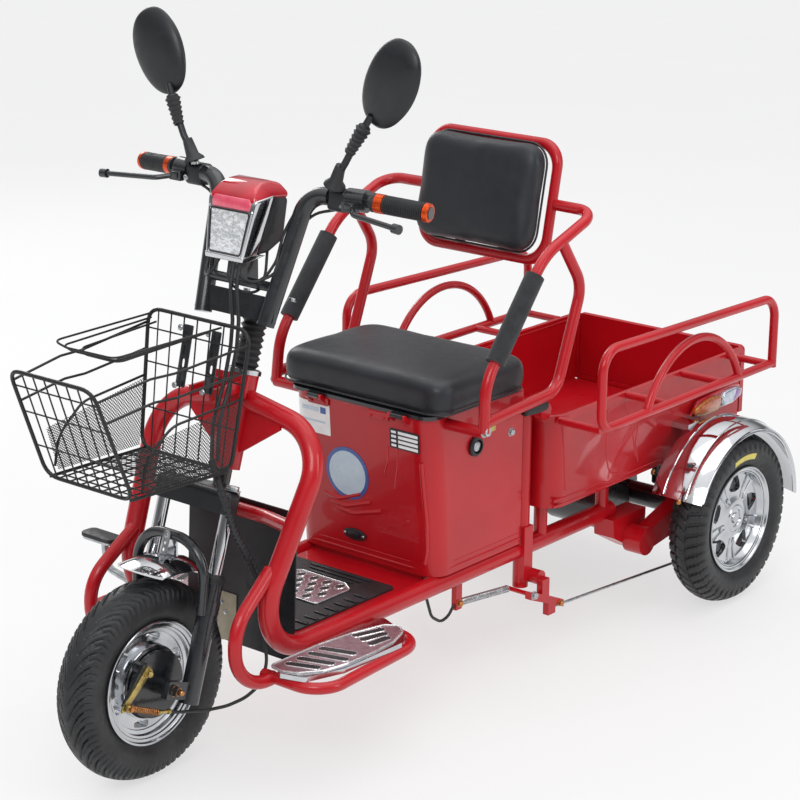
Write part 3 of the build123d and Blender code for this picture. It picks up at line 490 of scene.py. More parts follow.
# A plate with an outline in mm, pushed out along local Z.
def plate(outline, thick, matrix, edge=0.0, segments=2):
    deselectAll()
    bpy.ops.mesh.primitive_circle_add(vertices=len(outline), radius=1, fill_type="NGON")
    piece = bpy.context.object
    for vertex, (x, y) in zip(piece.data.vertices, outline):
        vertex.co = (x / 1000, y / 1000, 0)
    editAll(piece)
    bpy.ops.mesh.extrude_region_move(TRANSFORM_OT_translate={"value": (0, 0, thick / 1000)})
    bpy.ops.mesh.select_all(action="SELECT")
    bpy.ops.mesh.normals_make_consistent(inside=False)
    leaveEdit()
    if edge:
        soften(piece, edge, segments)
    return settle(piece, matrix)


# Outline of a rounded rectangle or an oval, in mm.
def roundRect(width, height, radius, steps=5):
    outline = []
    for cornerX, cornerY, start in ((1, 1, 0), (-1, 1, 90), (-1, -1, 180), (1, -1, 270)):
        for step in range(steps + 1):
            angle = math.radians(start + 90 * step / steps)
            outline.append((
                cornerX * (width / 2 - radius) + radius * math.cos(angle),
                cornerY * (height / 2 - radius) + radius * math.sin(angle),
            ))
    return outline


def oval(width, height, steps=28):
    angles = [math.tau * step / steps for step in range(steps)]
    return [(width / 2 * math.cos(angle), height / 2 * math.sin(angle)) for angle in angles]


def cut(piece, cutter):
    pick(piece)
    boolean = piece.modifiers.new("cut", "BOOLEAN")
    boolean.operation = "DIFFERENCE"
    boolean.solver = "EXACT"
    boolean.object = cutter
    bpy.ops.object.modifier_apply(modifier="cut")
    bpy.data.objects.remove(cutter, do_unlink=True)
    return piece


def paint(piece, material):
    piece.data.materials.clear()
    piece.data.materials.append(material)
    return piece


def joined(pieces):
    deselectAll()
    for piece in pieces:
        piece.select_set(True)
    bpy.context.view_layer.objects.active = pieces[0]
    if len(pieces) > 1:
        bpy.ops.object.join()
    return bpy.context.object


# Names a piece, smooths it, and lets it ride on its body.
def finish(pieces, name, body, smooth=40):
    piece = joined(pieces if isinstance(pieces, list) else [pieces])
    pick(piece)
    bpy.ops.object.shade_smooth_by_angle(angle=math.radians(smooth))
    piece.name = name
    piece.data.name = name
    if body:
        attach(piece, body)
    return piece


# A hexagon bolt head on its washer, with its foot at place.
def boltHead(place, direction, across=10, height=6, material=zincSteel):
    foot, rim = across * 0.72, across * 0.66
    washer = spun([(0, 0), (0, foot), (1.1, foot), (1.4, rim), (1.4, 0)], place, direction, steps=20)
    seat = facing(place + Vector(direction).normalized() * 0.0013, direction)
    head = plate(oval(across / 0.866, across / 0.866, 6), height, seat, edge=0.8, segments=1)
    return paint(joined([washer, head]), material)


# A domed screw head.
def screwHead(place, direction, across=8, material=zincSteel):
    half = across / 2
    dome = [(0, half), (0.9, half), (2.0, half * 0.86), (3.0, half * 0.5), (3.2, 0)]
    return paint(spun(dome, place, direction, steps=18), material)


# A coil spring between two points.
def coilSpring(start, end, radius, wire, turns, material):
    axis = end - start
    place = facing(start, axis)
    count = turns * 14
    path = []
    for step in range(count + 1):
        ring = around(math.tau * turns * step / count) * radius / 1000
        path.append(place @ Vector((ring.y, ring.z, axis.length * step / count)))
    return paint(wires([path], wire / 2), material)


# An outline in mm laid on a frame, raised by up.
def laid(outline, matrix, up=0.0):
    return [matrix @ Vector((x / 1000, y / 1000, up / 1000)) for x, y in outline]


# Tyres: a spun section whose tread grooves are pressed in. Sizes and depths in mm; steps and
# pitches are counts round the tyre.
tyreLook = {
    "crown": 184.5, "crownCurve": 0.0108, "treadHalf": 35, "grooveFrom": 154,
    "frontSteps": 520, "frontPitches": 40, "frontLean": 0.34, "frontGroove": 3.6, "frontSipe": 2.6,
    "rearSteps": 528, "rearPitches": 48, "rearGroove": 4.4, "rearChannel": 4.0, "rearMiddle": 3.8,
    "labelRadius": 138, "labelWidth": 13, "labelArc": 34, "labelTurn": 91,
}
tyreSide = [(-27, 103), (-28.5, 116), (-31, 119), (-35.5, 128), (-37, 130), (-39.6, 139),
            (-40.7, 149), (-40.4, 156), (-39.2, 162), (-37.4, 167)]
treadHalf = tyreLook["treadHalf"]
treadSteps = range(-treadHalf, treadHalf + 1, 2)
tread = [(x, tyreLook["crown"] - tyreLook["crownCurve"] * x * x) for x in treadSteps]
tyreProfile = tyreSide + tread + [(-x, radius) for x, radius in reversed(tyreSide)]


# Depth of the front tread: a plain centre, leaning side grooves and short sipes between them.
def roadGroove(x, angle):
    if abs(x) < 4:
        return 0.0
    reach = min(abs(x) / 36, 1.12)
    lean = tyreLook["frontLean"] * max(0, 1 - reach) ** 1.5
    pitch = math.tau / tyreLook["frontPitches"]
    share = ((angle + math.copysign(pitch / 4, x) - lean) / pitch) % 1
    if share < 0.17:
        return tyreLook["frontGroove"] * min(1, (abs(x) - 4) / 3)
    return tyreLook["frontSipe"] if reach > 0.42 and 0.5 < share < 0.62 else 0.0


# Depth of the rear tread: a cut middle rib, a channel on each side and shoulder blocks.
def blockGroove(x, angle):
    pitch = math.tau / tyreLook["rearPitches"]
    if abs(x) < 10:
        return tyreLook["rearMiddle"] if ((angle - x * 0.004) / pitch) % 1 < 0.2 else 0.0
    if abs(x) < 13.5:
        return tyreLook["rearChannel"]
    share = ((angle + math.copysign(pitch / 4, x) + x * 0.0016) / pitch) % 1
    return tyreLook["rearGroove"] if share < 0.3 else 0.0


def tyrePiece(groove, steps, centre):
    tyre = spun(tyreProfile, Vector((0, 0, 0)), (1, 0, 0), steps=steps, closed=True)
    grooveFrom = tyreLook["grooveFrom"]
    for vertex in tyre.data.vertices:
        x, y, z = vertex.co * 1000
        radius = math.hypot(y, z)
        if radius < grooveFrom:
            continue
        deep = groove(x, math.atan2(z, y)) * min(1, (radius - grooveFrom) / 9)
        inward = (radius - deep) / radius
        narrowed = x * (1 - deep * 0.018 * (abs(x) > 36))
        vertex.co = Vector((narrowed, y * inward, z * inward)) / 1000
    return paint(settle(tyre, Matrix.Translation(centre)), tyreRubber)


# A blank yellow label that follows the sidewall.
def tyreLabel(centre):
    deselectAll()
    bpy.ops.mesh.primitive_grid_add(x_subdivisions=16, y_subdivisions=2, size=1)
    film = bpy.context.object
    for vertex in film.data.vertices:
        angle = math.radians(tyreLook["labelTurn"] - tyreLook["labelArc"] * vertex.co.x)
        radius = tyreLook["labelRadius"] + tyreLook["labelWidth"] * vertex.co.y
        wall = 40.0 + (radius - 139) * (0.12 if radius > 139 else 0.29)
        vertex.co = centre + (Vector((wall, 0, 0)) + around(angle) * radius) / 1000
    return paint(film, yellowFilm)


frontTyre = tyrePiece(roadGroove, tyreLook["frontSteps"], frontAxle)
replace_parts(finish(frontTyre, "frontTyreTread", "front_wheel", 50), "front_tyre")
for side, sign in sides:
    hub = rearAxle + Vector((sign * rearTrack / 1000, 0, 0))
    parts = [tyrePiece(blockGroove, tyreLook["rearSteps"], hub)]
    if side == "left":
        parts.append(tyreLabel(hub))
    rearTyre = finish(parts, side + "TyreTread", "rear_wheel_" + side, 50)
    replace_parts(rearTyre, "rear_tyre_" + side)
print("tyres done")

# Front wheel: stepped polished barrel with windows round its brake drum. Profiles are in mm,
# along the axle and then out from it.
frontWheel = {"windows": 6, "windowRadius": 80, "windowSize": (36, 13), "windowStart": 18,
              "windowCorner": 4.94, "steps": 120}
barrel = [(33, 114.6), (33.6, 113), (33, 111), (29, 109.5), (27, 105), (25.5, 103.5), (24.5, 99),
          (17, 97.6), (15.5, 91), (13.5, 90), (12.8, 69), (24, 67.6), (24.6, 66.4), (22, 65),
          (-22, 65), (-24.6, 66.4), (-24, 67.6), (-12.8, 69), (-13.5, 90), (-15.5, 91), (-17, 97.6),
          (-24.5, 99), (-25.5, 103.5), (-27, 105), (-29, 109.5), (-33, 111), (-33.6, 113),
          (-33, 114.6), (-29.5, 114.6), (-28, 104), (-20, 101), (20, 101), (28, 104), (29.5, 114.6)]
drumProfile = [(-30, 8), (-30, 40), (-27, 62), (-24, 65.5), (25, 65.5), (28, 63), (29, 8)]
axleOut = Vector((1, 0, 0))
frontRim = spun(barrel, frontAxle, axleOut, steps=frontWheel["steps"], closed=True)
window = roundRect(*frontWheel["windowSize"], frontWheel["windowCorner"])
for index in range(frontWheel["windows"]):
    angle = math.tau * index / frontWheel["windows"] + math.radians(frontWheel["windowStart"])
    place = frontAxle + around(angle) * frontWheel["windowRadius"] / 1000 - axleOut * 0.03
    cut(frontRim, plate(window, 60, facing(place, axleOut, axleOut.cross(around(angle)))))
paint(frontRim, castAlloy)
drum = paint(spun(drumProfile, frontAxle, axleOut, steps=72, closed=True), blackEnamel)
frontRim = finish([frontRim, drum], "frontWheelRim", "front_wheel", 30)
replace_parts(frontRim, "front_rim")

# Rear wheels: a dished face with five windows, ribs between them, a bright lip and a hub cap.
rearWheel = {
    "spokes": 5, "turn": 0.22, "windowRadius": 73.5, "ribLean": 0.13, "rib": 2.6,
    "boltCircle": 52, "valveTurn": 200, "valveRadius": 94,
}
dish = [(33, 114.6), (33.8, 113), (33, 110.4), (29, 108.6), (27.4, 105), (26, 101), (20, 98.5),
        (14, 95), (12.5, 70), (15, 46), (19, 40), (20, 30), (13, 27), (4, 27), (4, 44), (5, 95),
        (-20, 97.5), (-27, 103), (-31, 108), (-33, 111), (-33.6, 113), (-33, 114.6),
        (-29.5, 114.6), (-28, 105), (-18, 101), (20, 101.5), (28, 105), (29.5, 114.6)]
rearWindow = [(-7, -19), (7, -19), (17, -4), (21.5, 9), (15, 14.5), (0, 16.5), (-15, 14.5),
              (-21.5, 9), (-17, -4)]
hubCap = [(10, 31), (19, 30), (21.5, 27), (21.5, 20), (18.5, 18.5), (18.5, 12), (22, 10.5), (22, 0)]
backDisc = [(1, 84), (3.5, 78), (3.5, 20), (-24, 20), (-26, 66), (-22, 80), (-4, 86)]
valveStem = [(0, 4), (3, 4), (5, 2.6), (16, 2.6), (16, 3.2), (22, 3.2), (22, 0)]


def rearRim(side, sign):
    hub = rearAxle + Vector((sign * rearTrack / 1000, 0, 0))
    outward = Vector((sign, 0, 0))
    shell = spun(dish, hub, outward, steps=120, closed=True)
    count = rearWheel["spokes"]
    angles = [math.tau * (index + rearWheel["turn"]) / count for index in range(count)]
    ribs = []
    for angle in angles:
        across = around(angle)
        place = hub + across * rearWheel["windowRadius"] / 1000 - outward * 0.008
        cut(shell, plate(rearWindow, 40, facing(place, outward, outward.cross(across))))
        for lean in (-rearWheel["ribLean"], rearWheel["ribLean"]):
            beside = angle + math.pi / count + lean
            outer = around(beside)
            ribs.append([hub + around(beside - lean * 0.2) * 0.036 + outward * 0.0165,
                         hub + outer * 0.066 + outward * 0.0125,
                         hub + outer * 0.0955 + outward * 0.015])
    parts = [
        paint(shell, castAlloy),
        paint(wires(ribs, rearWheel["rib"], corner=20), castAlloy),
        paint(spun(hubCap, hub, outward, steps=48), castAlloy),
        paint(spun(backDisc, hub, outward, steps=72, closed=True), blackEnamel),
    ]
    for angle in angles:
        spoke = around(angle + math.pi / count) * rearWheel["boltCircle"] / 1000
        parts.append(boltHead(hub + outward * 0.0128 + spoke, outward, 8, 4))
    upright = around(math.radians(rearWheel["valveTurn"]))
    valve = hub + outward * 0.016 + upright * rearWheel["valveRadius"] / 1000
    parts.append(paint(spun(valveStem, valve, outward - upright * 0.6, steps=14), blackRubber))
    rim = finish(parts, side + "WheelRim", "rear_wheel_" + side, 30)
    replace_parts(rim, "rear_rim_" + side)


for side, sign in sides:
    rearRim(side, sign)
print("rims done")

# Front brake: yellow zinc arm, spring, adjuster and copper axle nuts. Points are from the front
# axle and sizes in mm.
frontBrake = {
    "pivot": (46, -44, 226), "armEnd": (72, -97, 181), "clevis": (64, -97, 179),
    "springEnd": (69, -30, 150), "springRadius": 5.2, "springWire": 1.8, "springTurns": 16,
    "arm": [(-9, -11), (9, -11), (6.5, 30), (5.5, 78), (0, 84), (-5.5, 78), (-6.5, 30)],
    "armThick": 3.2, "nutOut": 84, "cable": 3.2,
}
armPivot, armEnd = frontPath(frontBrake["pivot"], frontBrake["armEnd"])
clevis, springEnd = frontPath(frontBrake["clevis"], frontBrake["springEnd"])
armMatrix = facing(armPivot + axleOut * 0.012, axleOut, (armEnd - armPivot).cross(axleOut))
adjuster = [(0, 3.4), (0, 4.6), (7, 4.6), (7, 3), (22, 3), (22, 5), (27, 5), (27, 0)]
brakeParts = [
    paint(plate(frontBrake["arm"], frontBrake["armThick"], armMatrix, edge=0.8), goldZinc),
    boltHead(armPivot + axleOut * 0.0155, axleOut, 11, 7, goldZinc),
    paint(block((16, 13, 13), facing(clevis, (0, 0.92, -0.39)), 2.2), goldZinc),
    boltHead(clevis + axleOut * 0.008, axleOut, 8, 4, brassNut),
    coilSpring(clevis, springEnd, frontBrake["springRadius"], frontBrake["springWire"],
               frontBrake["springTurns"], brassNut),
    paint(spun(adjuster, springEnd, (0.15, 0.95, -0.2), steps=18), goldZinc),
]
for side, sign in sides:
    nutPlace = fromFront(sign * frontBrake["nutOut"], 0, 185)
    stud = spun([(8, 5), (17, 5), (19, 3.6), (19, 0)], nutPlace, (sign, 0, 0), steps=18)
    brakeParts += [boltHead(nutPlace, (sign, 0, 0), 15, 9, brassNut), paint(stud, brassNut)]
finish(brakeParts, "frontBrakeArm", "steering", 30)

# The front brake cable bends between the fork and a clip on the frame.
bendStart, bendEnd = (85, 72, 123), (124, 176, 150)
brakeLine = frontPath((71, -6, 145), (76, 6, 140), bendStart, (98, 116, 121), (112, 148, 130),
                      bendEnd, (128, 190, 190), (124, 186, 240), (112, 180, 300), (98, 172, 344))
cable = paint(wires([brakeLine], frontBrake["cable"], corner=70), blackRubber)
cable = finish(cable, "frontBrakeCable", None, 60)
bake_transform(cable)
print("front brake done")

# Basket: wire radii and mesh pitches in mm, and how many thin wires stand and lie in it.
basketLook = {
    "hoop": 3.6, "rail": 2.4, "floorRail": 3.2, "thin": 1.5, "mesh": 0.7, "bail": 2.0,
    "uprights": 7, "crossWires": 8, "meshPitch": 7.0, "floorPitch": 12.0,
}
# Its two hoops: half width at the top, how much narrower at the foot, and (back, height) points.
backHoop = {"half": 124, "narrow": 14, "top": (160, 814), "low": (120, 565)}
frontHoop = {"half": 101, "narrow": -5, "top": (-192, 780), "low": (-110, 571)}


def hoopPoint(hoop, up):
    (topY, topZ), (lowY, lowZ) = hoop["top"], hoop["low"]
    return Vector((hoop["half"] - hoop["narrow"] * (1 - up), lowY + (topY - lowY) * up,
                   lowZ + (topZ - lowZ) * up))


# A point on the side wall: along 0 at the back hoop to 1 at the front, up 0 to 1.
def sideWall(sign, along, up):
    point = hoopPoint(backHoop, up).lerp(hoopPoint(frontHoop, up), along)
    return fromFront(sign * point.x, point.y, point.z)


hoopCorners = ((1, 1), (-1, 1), (-1, 0), (1, 0))
hoops = [[sideWall(sign, along, up) for sign, up in hoopCorners] for along in (0, 1)]
hoopWires = wires(hoops, basketLook["hoop"], corner=30, closed=True, sides=10)
sideRails = []
floorRails = []
for side, sign in sides:
    for up in (0.9, 0.71):
        sideRails.append([sideWall(sign, along, up) for along in (0, 0.5, 0.66, 1)])
        sideRails[-1][2] += Vector((0, 0, 0.006))
    lowRail = ((0, 0.52), (0.55, 0.5), (0.8, 0.3), (0.9, 0.06))
    sideRails.append([sideWall(sign, along, up) for along, up in lowRail])
    inset = Vector((-sign * 0.008, 0, 0))
    floorRails.append([sideWall(sign, along, 0) + inset for along in (0, 1)])
middleWires = wires(sideRails, basketLook["rail"], corner=60)
lowWires = wires(floorRails, basketLook["floorRail"])
thinPaths = []
for index in range(basketLook["uprights"]):
    share = -1 + 2 * (index + 0.5) / basketLook["uprights"]
    topX, lowX = frontHoop["half"] * 0.93 * (share + 0.1), frontHoop["half"] * 0.92 * share
    backTopX, backLowX = backHoop["half"] * 0.9 * share, backHoop["half"] * 0.82 * share
    thinPaths.append(frontPath((topX, -190, 778), (lowX, -112, 575)))
    thinPaths.append(frontPath((backTopX, 157, 812), (backLowX, 122, 569)))
    thinPaths.append(frontPath((backLowX, *backHoop["low"]), (lowX, *frontHoop["low"])))
for up in (0.86, 0.62, 0.3):
    for end in (0.0, 1.0):
        thinPaths.append([sideWall(1, end, up), sideWall(-1, end, up)])
for index in range(basketLook["crossWires"]):
    near = floorRails[0][0].lerp(floorRails[0][1], (index + 0.6) / 8.4)
    thinPaths.append([near, Vector((-near.x, near.y, near.z))])
thinWires = wires(thinPaths, basketLook["thin"], sides=6)


# Diagonal wires clipped to a four-sided panel given by a function of two shares.
def meshPanel(point, across, tall, pitch):
    paths = []
    for span in (tall, -tall):
        reach = int((across + tall) / pitch)
        for index in range(-reach, reach):
            offset = index * pitch
            first, last = sorted((-offset / span, (across - offset) / span))
            low, high = max(0.0, first), min(1.0, last)
            if high - low < 0.02:
                continue
            steps = 5 if high - low > 0.4 else 3
            ups = [low + (high - low) * step / (steps - 1) for step in range(steps)]
            paths.append([point((offset + span * up) / across, up) for up in ups])
    return paths


meshPaths = []
for side, sign in sides:
    meshPaths += meshPanel(
        lambda u, v: sideWall(sign, 0.02 + 0.86 * u, 0.02 + (0.48 - 0.1 * u) * v),
        270, 112, basketLook["meshPitch"])
meshPaths += meshPanel(lambda u, v: fromFront(98 * (2 * u - 1), backHoop["low"][0] * v, 567),
                       196, 120, basketLook["floorPitch"])
meshWires = wires(meshPaths, basketLook["mesh"], sides=4)
bails = [
    frontPath((-114, 158, 806), (-122, -70, 800), (-84, -76, 796), (22, -66, 794), (50, 164, 806)),
    frontPath((-108, 150, 800), (-110, -60, 792), (-84, -64, 788), (14, -56, 786), (38, 150, 800)),
    frontPath((-96, 150, 794), (-96, -30, 784), (-70, -46, 780), (4, -40, 778), (24, 150, 794)),
]
bailWires = wires(bails, basketLook["bail"], corner=22)
basketWires = (hoopWires, middleWires, lowWires, thinWires, meshWires, bailWires)
basketParts = [paint(part, wireBlack) for part in basketWires]
stripOut = (0, 0.97, -0.24)
for x in (-42, 26):
    strip = plate(roundRect(22, 112, 3), 2.6, facing(fromFront(x, 164, 738), stripOut, (1, 0, 0)),
                  edge=0.5)
    for row in range(4):
        place = facing(fromFront(x, 160, 702 + row * 24), stripOut, (1, 0, 0))
        cut(strip, plate(roundRect(7, 16, 3.4), 8, place))
    basketParts.append(paint(strip, blackEnamel))
    for back, height in ((157, 792), (139, 690)):
        basketParts.append(screwHead(fromFront(x, back, height), (0, -0.97, 0.24), 12))
basket = finish(basketParts, "wireBasket", "root", 45)
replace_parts(basket, "basket")
print("basket done")

# Headlight: chrome shell, faceted bowl behind its cover, red cap and a black back. Each profile is
# (back, height) from the front axle, with its half width, edge, and share of width at its foot.
lampLook = {
    "shell": ([(225, 916), (247, 1008), (250, 1016), (296, 1020), (262, 914), (238, 909)],
              57, 3, 0.76, chromePlate),
    "back": ([(262, 914), (292, 1012), (318, 1030), (340, 1006), (337, 932), (300, 914)],
             52, 7, 0.74, blackPlastic),
    "lip": ([(223, 909), (224, 919), (262, 918), (286, 912), (240, 906)],
            58, 2.4, 0.76, chromePlate),
    "cap": ([(247, 1003), (250, 1021), (261, 1035), (280, 1043), (304, 1044), (326, 1037),
             (338, 1020), (334, 1010), (296, 1015), (262, 1010)], 55, 6, 0.8, redLens),
}
lampLow, lampHigh = frontPath((0, 226, 912), (0, 250, 1018))
lampUp = (lampHigh - lampLow).normalized()
lampOut = Vector((0, -1, 0)) - lampUp * Vector((0, -1, 0)).dot(lampUp)
lampOut.normalize()
lampMatrix = facing((lampLow + lampHigh) / 2, lampOut, (1, 0, 0))


# Pushes a side profile out across X and narrows it towards its foot.
def lampBlock(profile, half, edge, narrow, material):
    outline = [(back - 280, height - 975) for back, height in profile]
    matrix = facing(fromFront(-half, 280, 975), (1, 0, 0), (0, 1, 0))
    piece = plate(outline, 2 * half, matrix, edge=edge, segments=4)
    for vertex in piece.data.vertices:
        share = min(1.0, max(0.0, (vertex.co.z - 0.906) / 0.104))
        vertex.co.x *= narrow + (1 - narrow) * share
    return paint(piece, material)


lampParts = {name: lampBlock(*look) for name, look in lampLook.items()}
for vertex in lampParts["cap"].data.vertices:
    domed = max(0.0, min(1.0, (vertex.co.z - 1.014) / 0.03)) ** 1.4
    vertex.co.x *= 1 - 0.3 * domed
lampFace = [(-37, -46), (37, -46), (46, 30), (-46, 30)]
bowl = plate(lampFace, 5, lampMatrix @ Matrix.Translation((0, 0, -0.003)), edge=2.0, segments=3)
editAll(bowl)
bpy.ops.mesh.subdivide(number_cuts=2)
leaveEdit()
paint(bowl, facetBowl)
gap = paint(wires([laid(lampFace, lampMatrix, 0.8)], 2.2, corner=5, closed=True), glossPlastic)
ridges = []
for side, sign in sides:
    ridge = laid([(sign * 40.5, -48), (sign * 50.5, 31), (sign * 51.5, 46)], lampMatrix)
    ridge[-1] -= lampOut * 0.006
    ridges.append(ridge)
ridges = paint(wires(ridges, 2.6, corner=8), chromePlate)
pinkOutline = [(-45, 0), (45, 0), (47, 12), (42, 22), (-42, 22), (-47, 12)]
pinkFront = plate(pinkOutline, 5, lampMatrix @ Matrix.Translation((0, 0.0325, -0.003)),
                  edge=2.4, segments=3)
paint(pinkFront, pinkLens)
headLamp = finish([lampParts["shell"], bowl, lampParts["back"], lampParts["lip"], gap,
                   lampParts["cap"], pinkFront, ridges], "headLamp", "steering", 35)
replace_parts(headLamp, "headlight")

# Mirrors: rubber boot, bent stalk, and a domed shell with glass towards the rider. Radii in mm,
# turn in degrees; the half sizes of the head are in metres.
mirrorLook = {
    "stalk": [(167, 328, 1044), (176, 327, 1066), (194, 327, 1092), (218, 331, 1136),
              (241, 340, 1178)],
    "stalkRadius": 6.4, "head": (275, 352, 1234), "turn": 29, "half": (0.0565, 0.082, 0.019),
    "rim": (0.055, 0.0805), "glass": (0.0535, 0.078), "ribs": 6,
}
bootProfile = [(4, 8), (4, 20), (8, 19), (16, 12), (40, 9.6), (46, 8.6), (46, 0)]
ribProfile = [(-30, 6)]
for rib in range(mirrorLook["ribs"]):
    ribProfile += [(-30 + rib * 9, 8.5 + rib * 0.6), (-25 + rib * 9, 10.5 + rib * 0.8),
                   (-22.5 + rib * 9, 8.5 + rib * 0.6)]
ribProfile += [(26, 11), (30, 6)]


# Outline of a mirror head in mm, from half sizes in metres: a little wider at its top.
def eggShape(half, tall, steps=64):
    turns = [math.tau * step / steps for step in range(steps)]
    return [(1000 * half * math.cos(turn) * (1 - 0.05 * math.sin(turn)),
             1000 * tall * math.sin(turn)) for turn in turns]


for side, sign in sides:
    stalk = [fromFront(sign * x, y, z) for x, y, z in mirrorLook["stalk"]]
    foot = stalk[0]
    washer = spun([(-2, 8), (3, 8), (3, 0)], foot, (0.1 * sign, 0, 1), steps=16)
    parts = [
        paint(wires([stalk], mirrorLook["stalkRadius"], corner=26, sides=12), blackPlastic),
        paint(washer, zincSteel),
        paint(spun(bootProfile, foot, stalk[1] - foot, steps=28), blackRubber),
        paint(spun(ribProfile, stalk[3], stalk[4] - stalk[3], steps=24), blackRubber),
    ]
    headX, headY, headZ = mirrorLook["head"]
    headMatrix = facing(fromFront(sign * headX, headY, headZ), (0.05 * sign, 0.99, -0.06), (1, 0, 0))
    headMatrix = headMatrix @ Matrix.Rotation(math.radians(mirrorLook["turn"] * sign), 4, "Z")
    deselectAll()
    bpy.ops.mesh.primitive_uv_sphere_add(segments=64, ring_count=32, radius=1)
    head = bpy.context.object
    editAll(head)
    bpy.ops.mesh.bisect(plane_co=(0, 0, 0), plane_no=(0, 0, -1), clear_inner=True, use_fill=True)
    leaveEdit()
    wide, tall, deep = mirrorLook["half"]
    for vertex in head.data.vertices:
        x, y, z = vertex.co
        x = math.copysign(abs(x) ** 0.88, x) * (1 - 0.05 * y)
        vertex.co = (wide * x, tall * math.copysign(abs(y) ** 0.97, y), deep * z)
    parts.append(paint(settle(head, headMatrix), blackPlastic))
    rim = laid(eggShape(*mirrorLook["rim"]), headMatrix)
    parts.append(paint(wires([rim], 2.2, closed=True, sides=10), blackPlastic))
    glass = plate(eggShape(*mirrorLook["glass"]), 1.6, headMatrix, edge=0.4, segments=1)
    parts.append(paint(glass, mirrorGlass))
    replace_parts(finish(parts, side + "Mirror", "steering", 40), "mirrors")
print("lamp and mirrors done")

# Grips with ribs and orange rings, switch pods, lever brackets and adjusters. Points are from the
# front axle, for the left side.
gripLook = {
    "inner": (235, 351, 1025), "outer": (346, 374, 1018), "ribs": 22, "low": 15.2, "high": 16.7,
    "pivot": (216, 321, 1016), "bar": (204, 347, 1025), "pod": (172, 343, 1021),
    "podSize": (44, 36, 40),
}
adjusterProfile = [(0, 5.5), (8, 5.5), (8, 4), (16, 4), (16, 6.2), (27, 6.2), (27, 0)]
for side, sign in sides:
    inner, outer, pivot, bar, podPlace = [
        fromFront(sign * x, y, z)
        for x, y, z in (gripLook[key] for key in ("inner", "outer", "pivot", "bar", "pod"))]
    along = (outer - inner).normalized()
    length = (outer - inner).length * 1000
    low, high = gripLook["low"], gripLook["high"]
    step = (length - 38) / gripLook["ribs"]
    profile = [(2, 12), (2, 17)]
    for rib in range(gripLook["ribs"]):
        base = 26 + step * rib
        profile += [(base, low), (base + step * 0.2, high), (base + step * 0.8, high),
                    (base + step * 0.98, low)]
    profile += [(length - 11, 16), (length - 11, 12)]
    endRing = [(length - 11, 12), (length - 10, 17), (length - 2, 16.6), (length, 14.5),
               (length - 0.5, 9), (length - 0.5, 0)]
    gripParts = [
        paint(spun(profile, inner, along, steps=40), blackRubber),
        paint(spun([(8, 15), (9, 17.2), (24, 17.2), (25, 15)], inner, along, steps=40),
              orangeAnodised),
        paint(spun(endRing, inner, along, steps=40), orangeAnodised),
    ]
    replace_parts(finish(gripParts, side + "GripRibs", "steering", 35), "grips")
    clamp = spun([(-13, 10), (-13, 15.5), (13, 15.5), (13, 10)], bar, along, steps=28)
    bracketPlace = (bar + pivot) / 2 - Vector((0, 0.004, 0.002))
    bracket = block((20, 34, 13), facing(bracketPlace, (0, 0, 1), (1, 0, 0)), 3)
    screw = screwHead(pivot + Vector((0, 0, 0.0065)), (0, 0, 1), 11)
    adjuster = spun(adjusterProfile, pivot + Vector((sign * -0.008, 0.003, 0)), (-sign, 0.25, -0.1),
                    steps=20)
    finish([paint(clamp, blackEnamel), paint(bracket, blackEnamel), screw,
            paint(adjuster, zincSteel)], side + "LeverBracket", "steering", 35)
    pod = block(gripLook["podSize"], facing(podPlace, (0, 0.1, 1), (1, 0, 0)), 9, 4)
    face = facing(podPlace + Vector((0, 0.018, 0.006)), (0, 1, 0.1), (1, 0, 0))
    button = plate(roundRect(9, 7, 2), 3.5, face @ Matrix.Translation((-0.011, 0.004, 0)), edge=0.7)
    slider = plate(roundRect(12, 5, 2), 3.5, face @ Matrix.Translation((0.009, 0.004, 0)), edge=0.7)
    finish([paint(pod, blackPlastic), paint(button, redLens), paint(slider, paperFilm)],
           side + "SwitchPod", "steering", 35)
print("bar controls done")


# Applies a modifier with the settings given.
def modified(piece, kind, **settings):
    pick(piece)
    modifier = piece.modifiers.new("step", kind)
    for name, value in settings.items():
        setattr(modifier, name, value)
    bpy.ops.object.modifier_apply(modifier="step")


# Stuffed shape by cloth: the pad swells under pressure and the move of each point is capped.
def swell(piece, look):
    modified(piece, "REMESH", mode="VOXEL", voxel_size=look["voxel"] / 1000)
    start = [vertex.co.copy() for vertex in piece.data.vertices]
    cloth = piece.modifiers.new("cloth", "CLOTH")
    cloth.settings.use_pressure = True
    cloth.settings.uniform_pressure_force = look["pressure"]
    cloth.settings.effector_weights.gravity = 0
    cloth.settings.tension_stiffness = 30
    cloth.settings.compression_stiffness = 30
    cloth.settings.bending_stiffness = 8
    cloth.point_cache.frame_end = 20
    for frameNumber in range(1, 21):
        scene.frame_set(frameNumber)
    pick(piece)
    bpy.ops.object.modifier_apply(modifier="cloth")
    cap = look["cap"] / 1000
    for vertex, before in zip(piece.data.vertices, start):
        move = vertex.co - before
        if move.length > cap:
            vertex.co = before + move.normalized() * cap
    scene.frame_set(1)
    modified(piece, "SMOOTH", factor=0.5, iterations=look["calm"])


def pad(size, matrix, look):
    wide, deep, thick = size
    piece = plate(roundRect(wide, deep, look["corner"], 8), thick,
                  Matrix.Translation((0, 0, -thick / 2000)), edge=look["edge"], segments=5)
    swell(piece, look)
    for vertex in piece.data.vertices:
        x, y, z = vertex.co * 2000
        bulge = max(0.0, 1 - (x / wide) ** 2) * max(0.0, 1 - (y / deep) ** 2)
        vertex.co.z += look["crown"] / 1000 * bulge * min(1, max(0.0, z / thick))
    modified(piece, "SUBSURF", levels=1)
    return paint(settle(piece, matrix), seatVinyl)


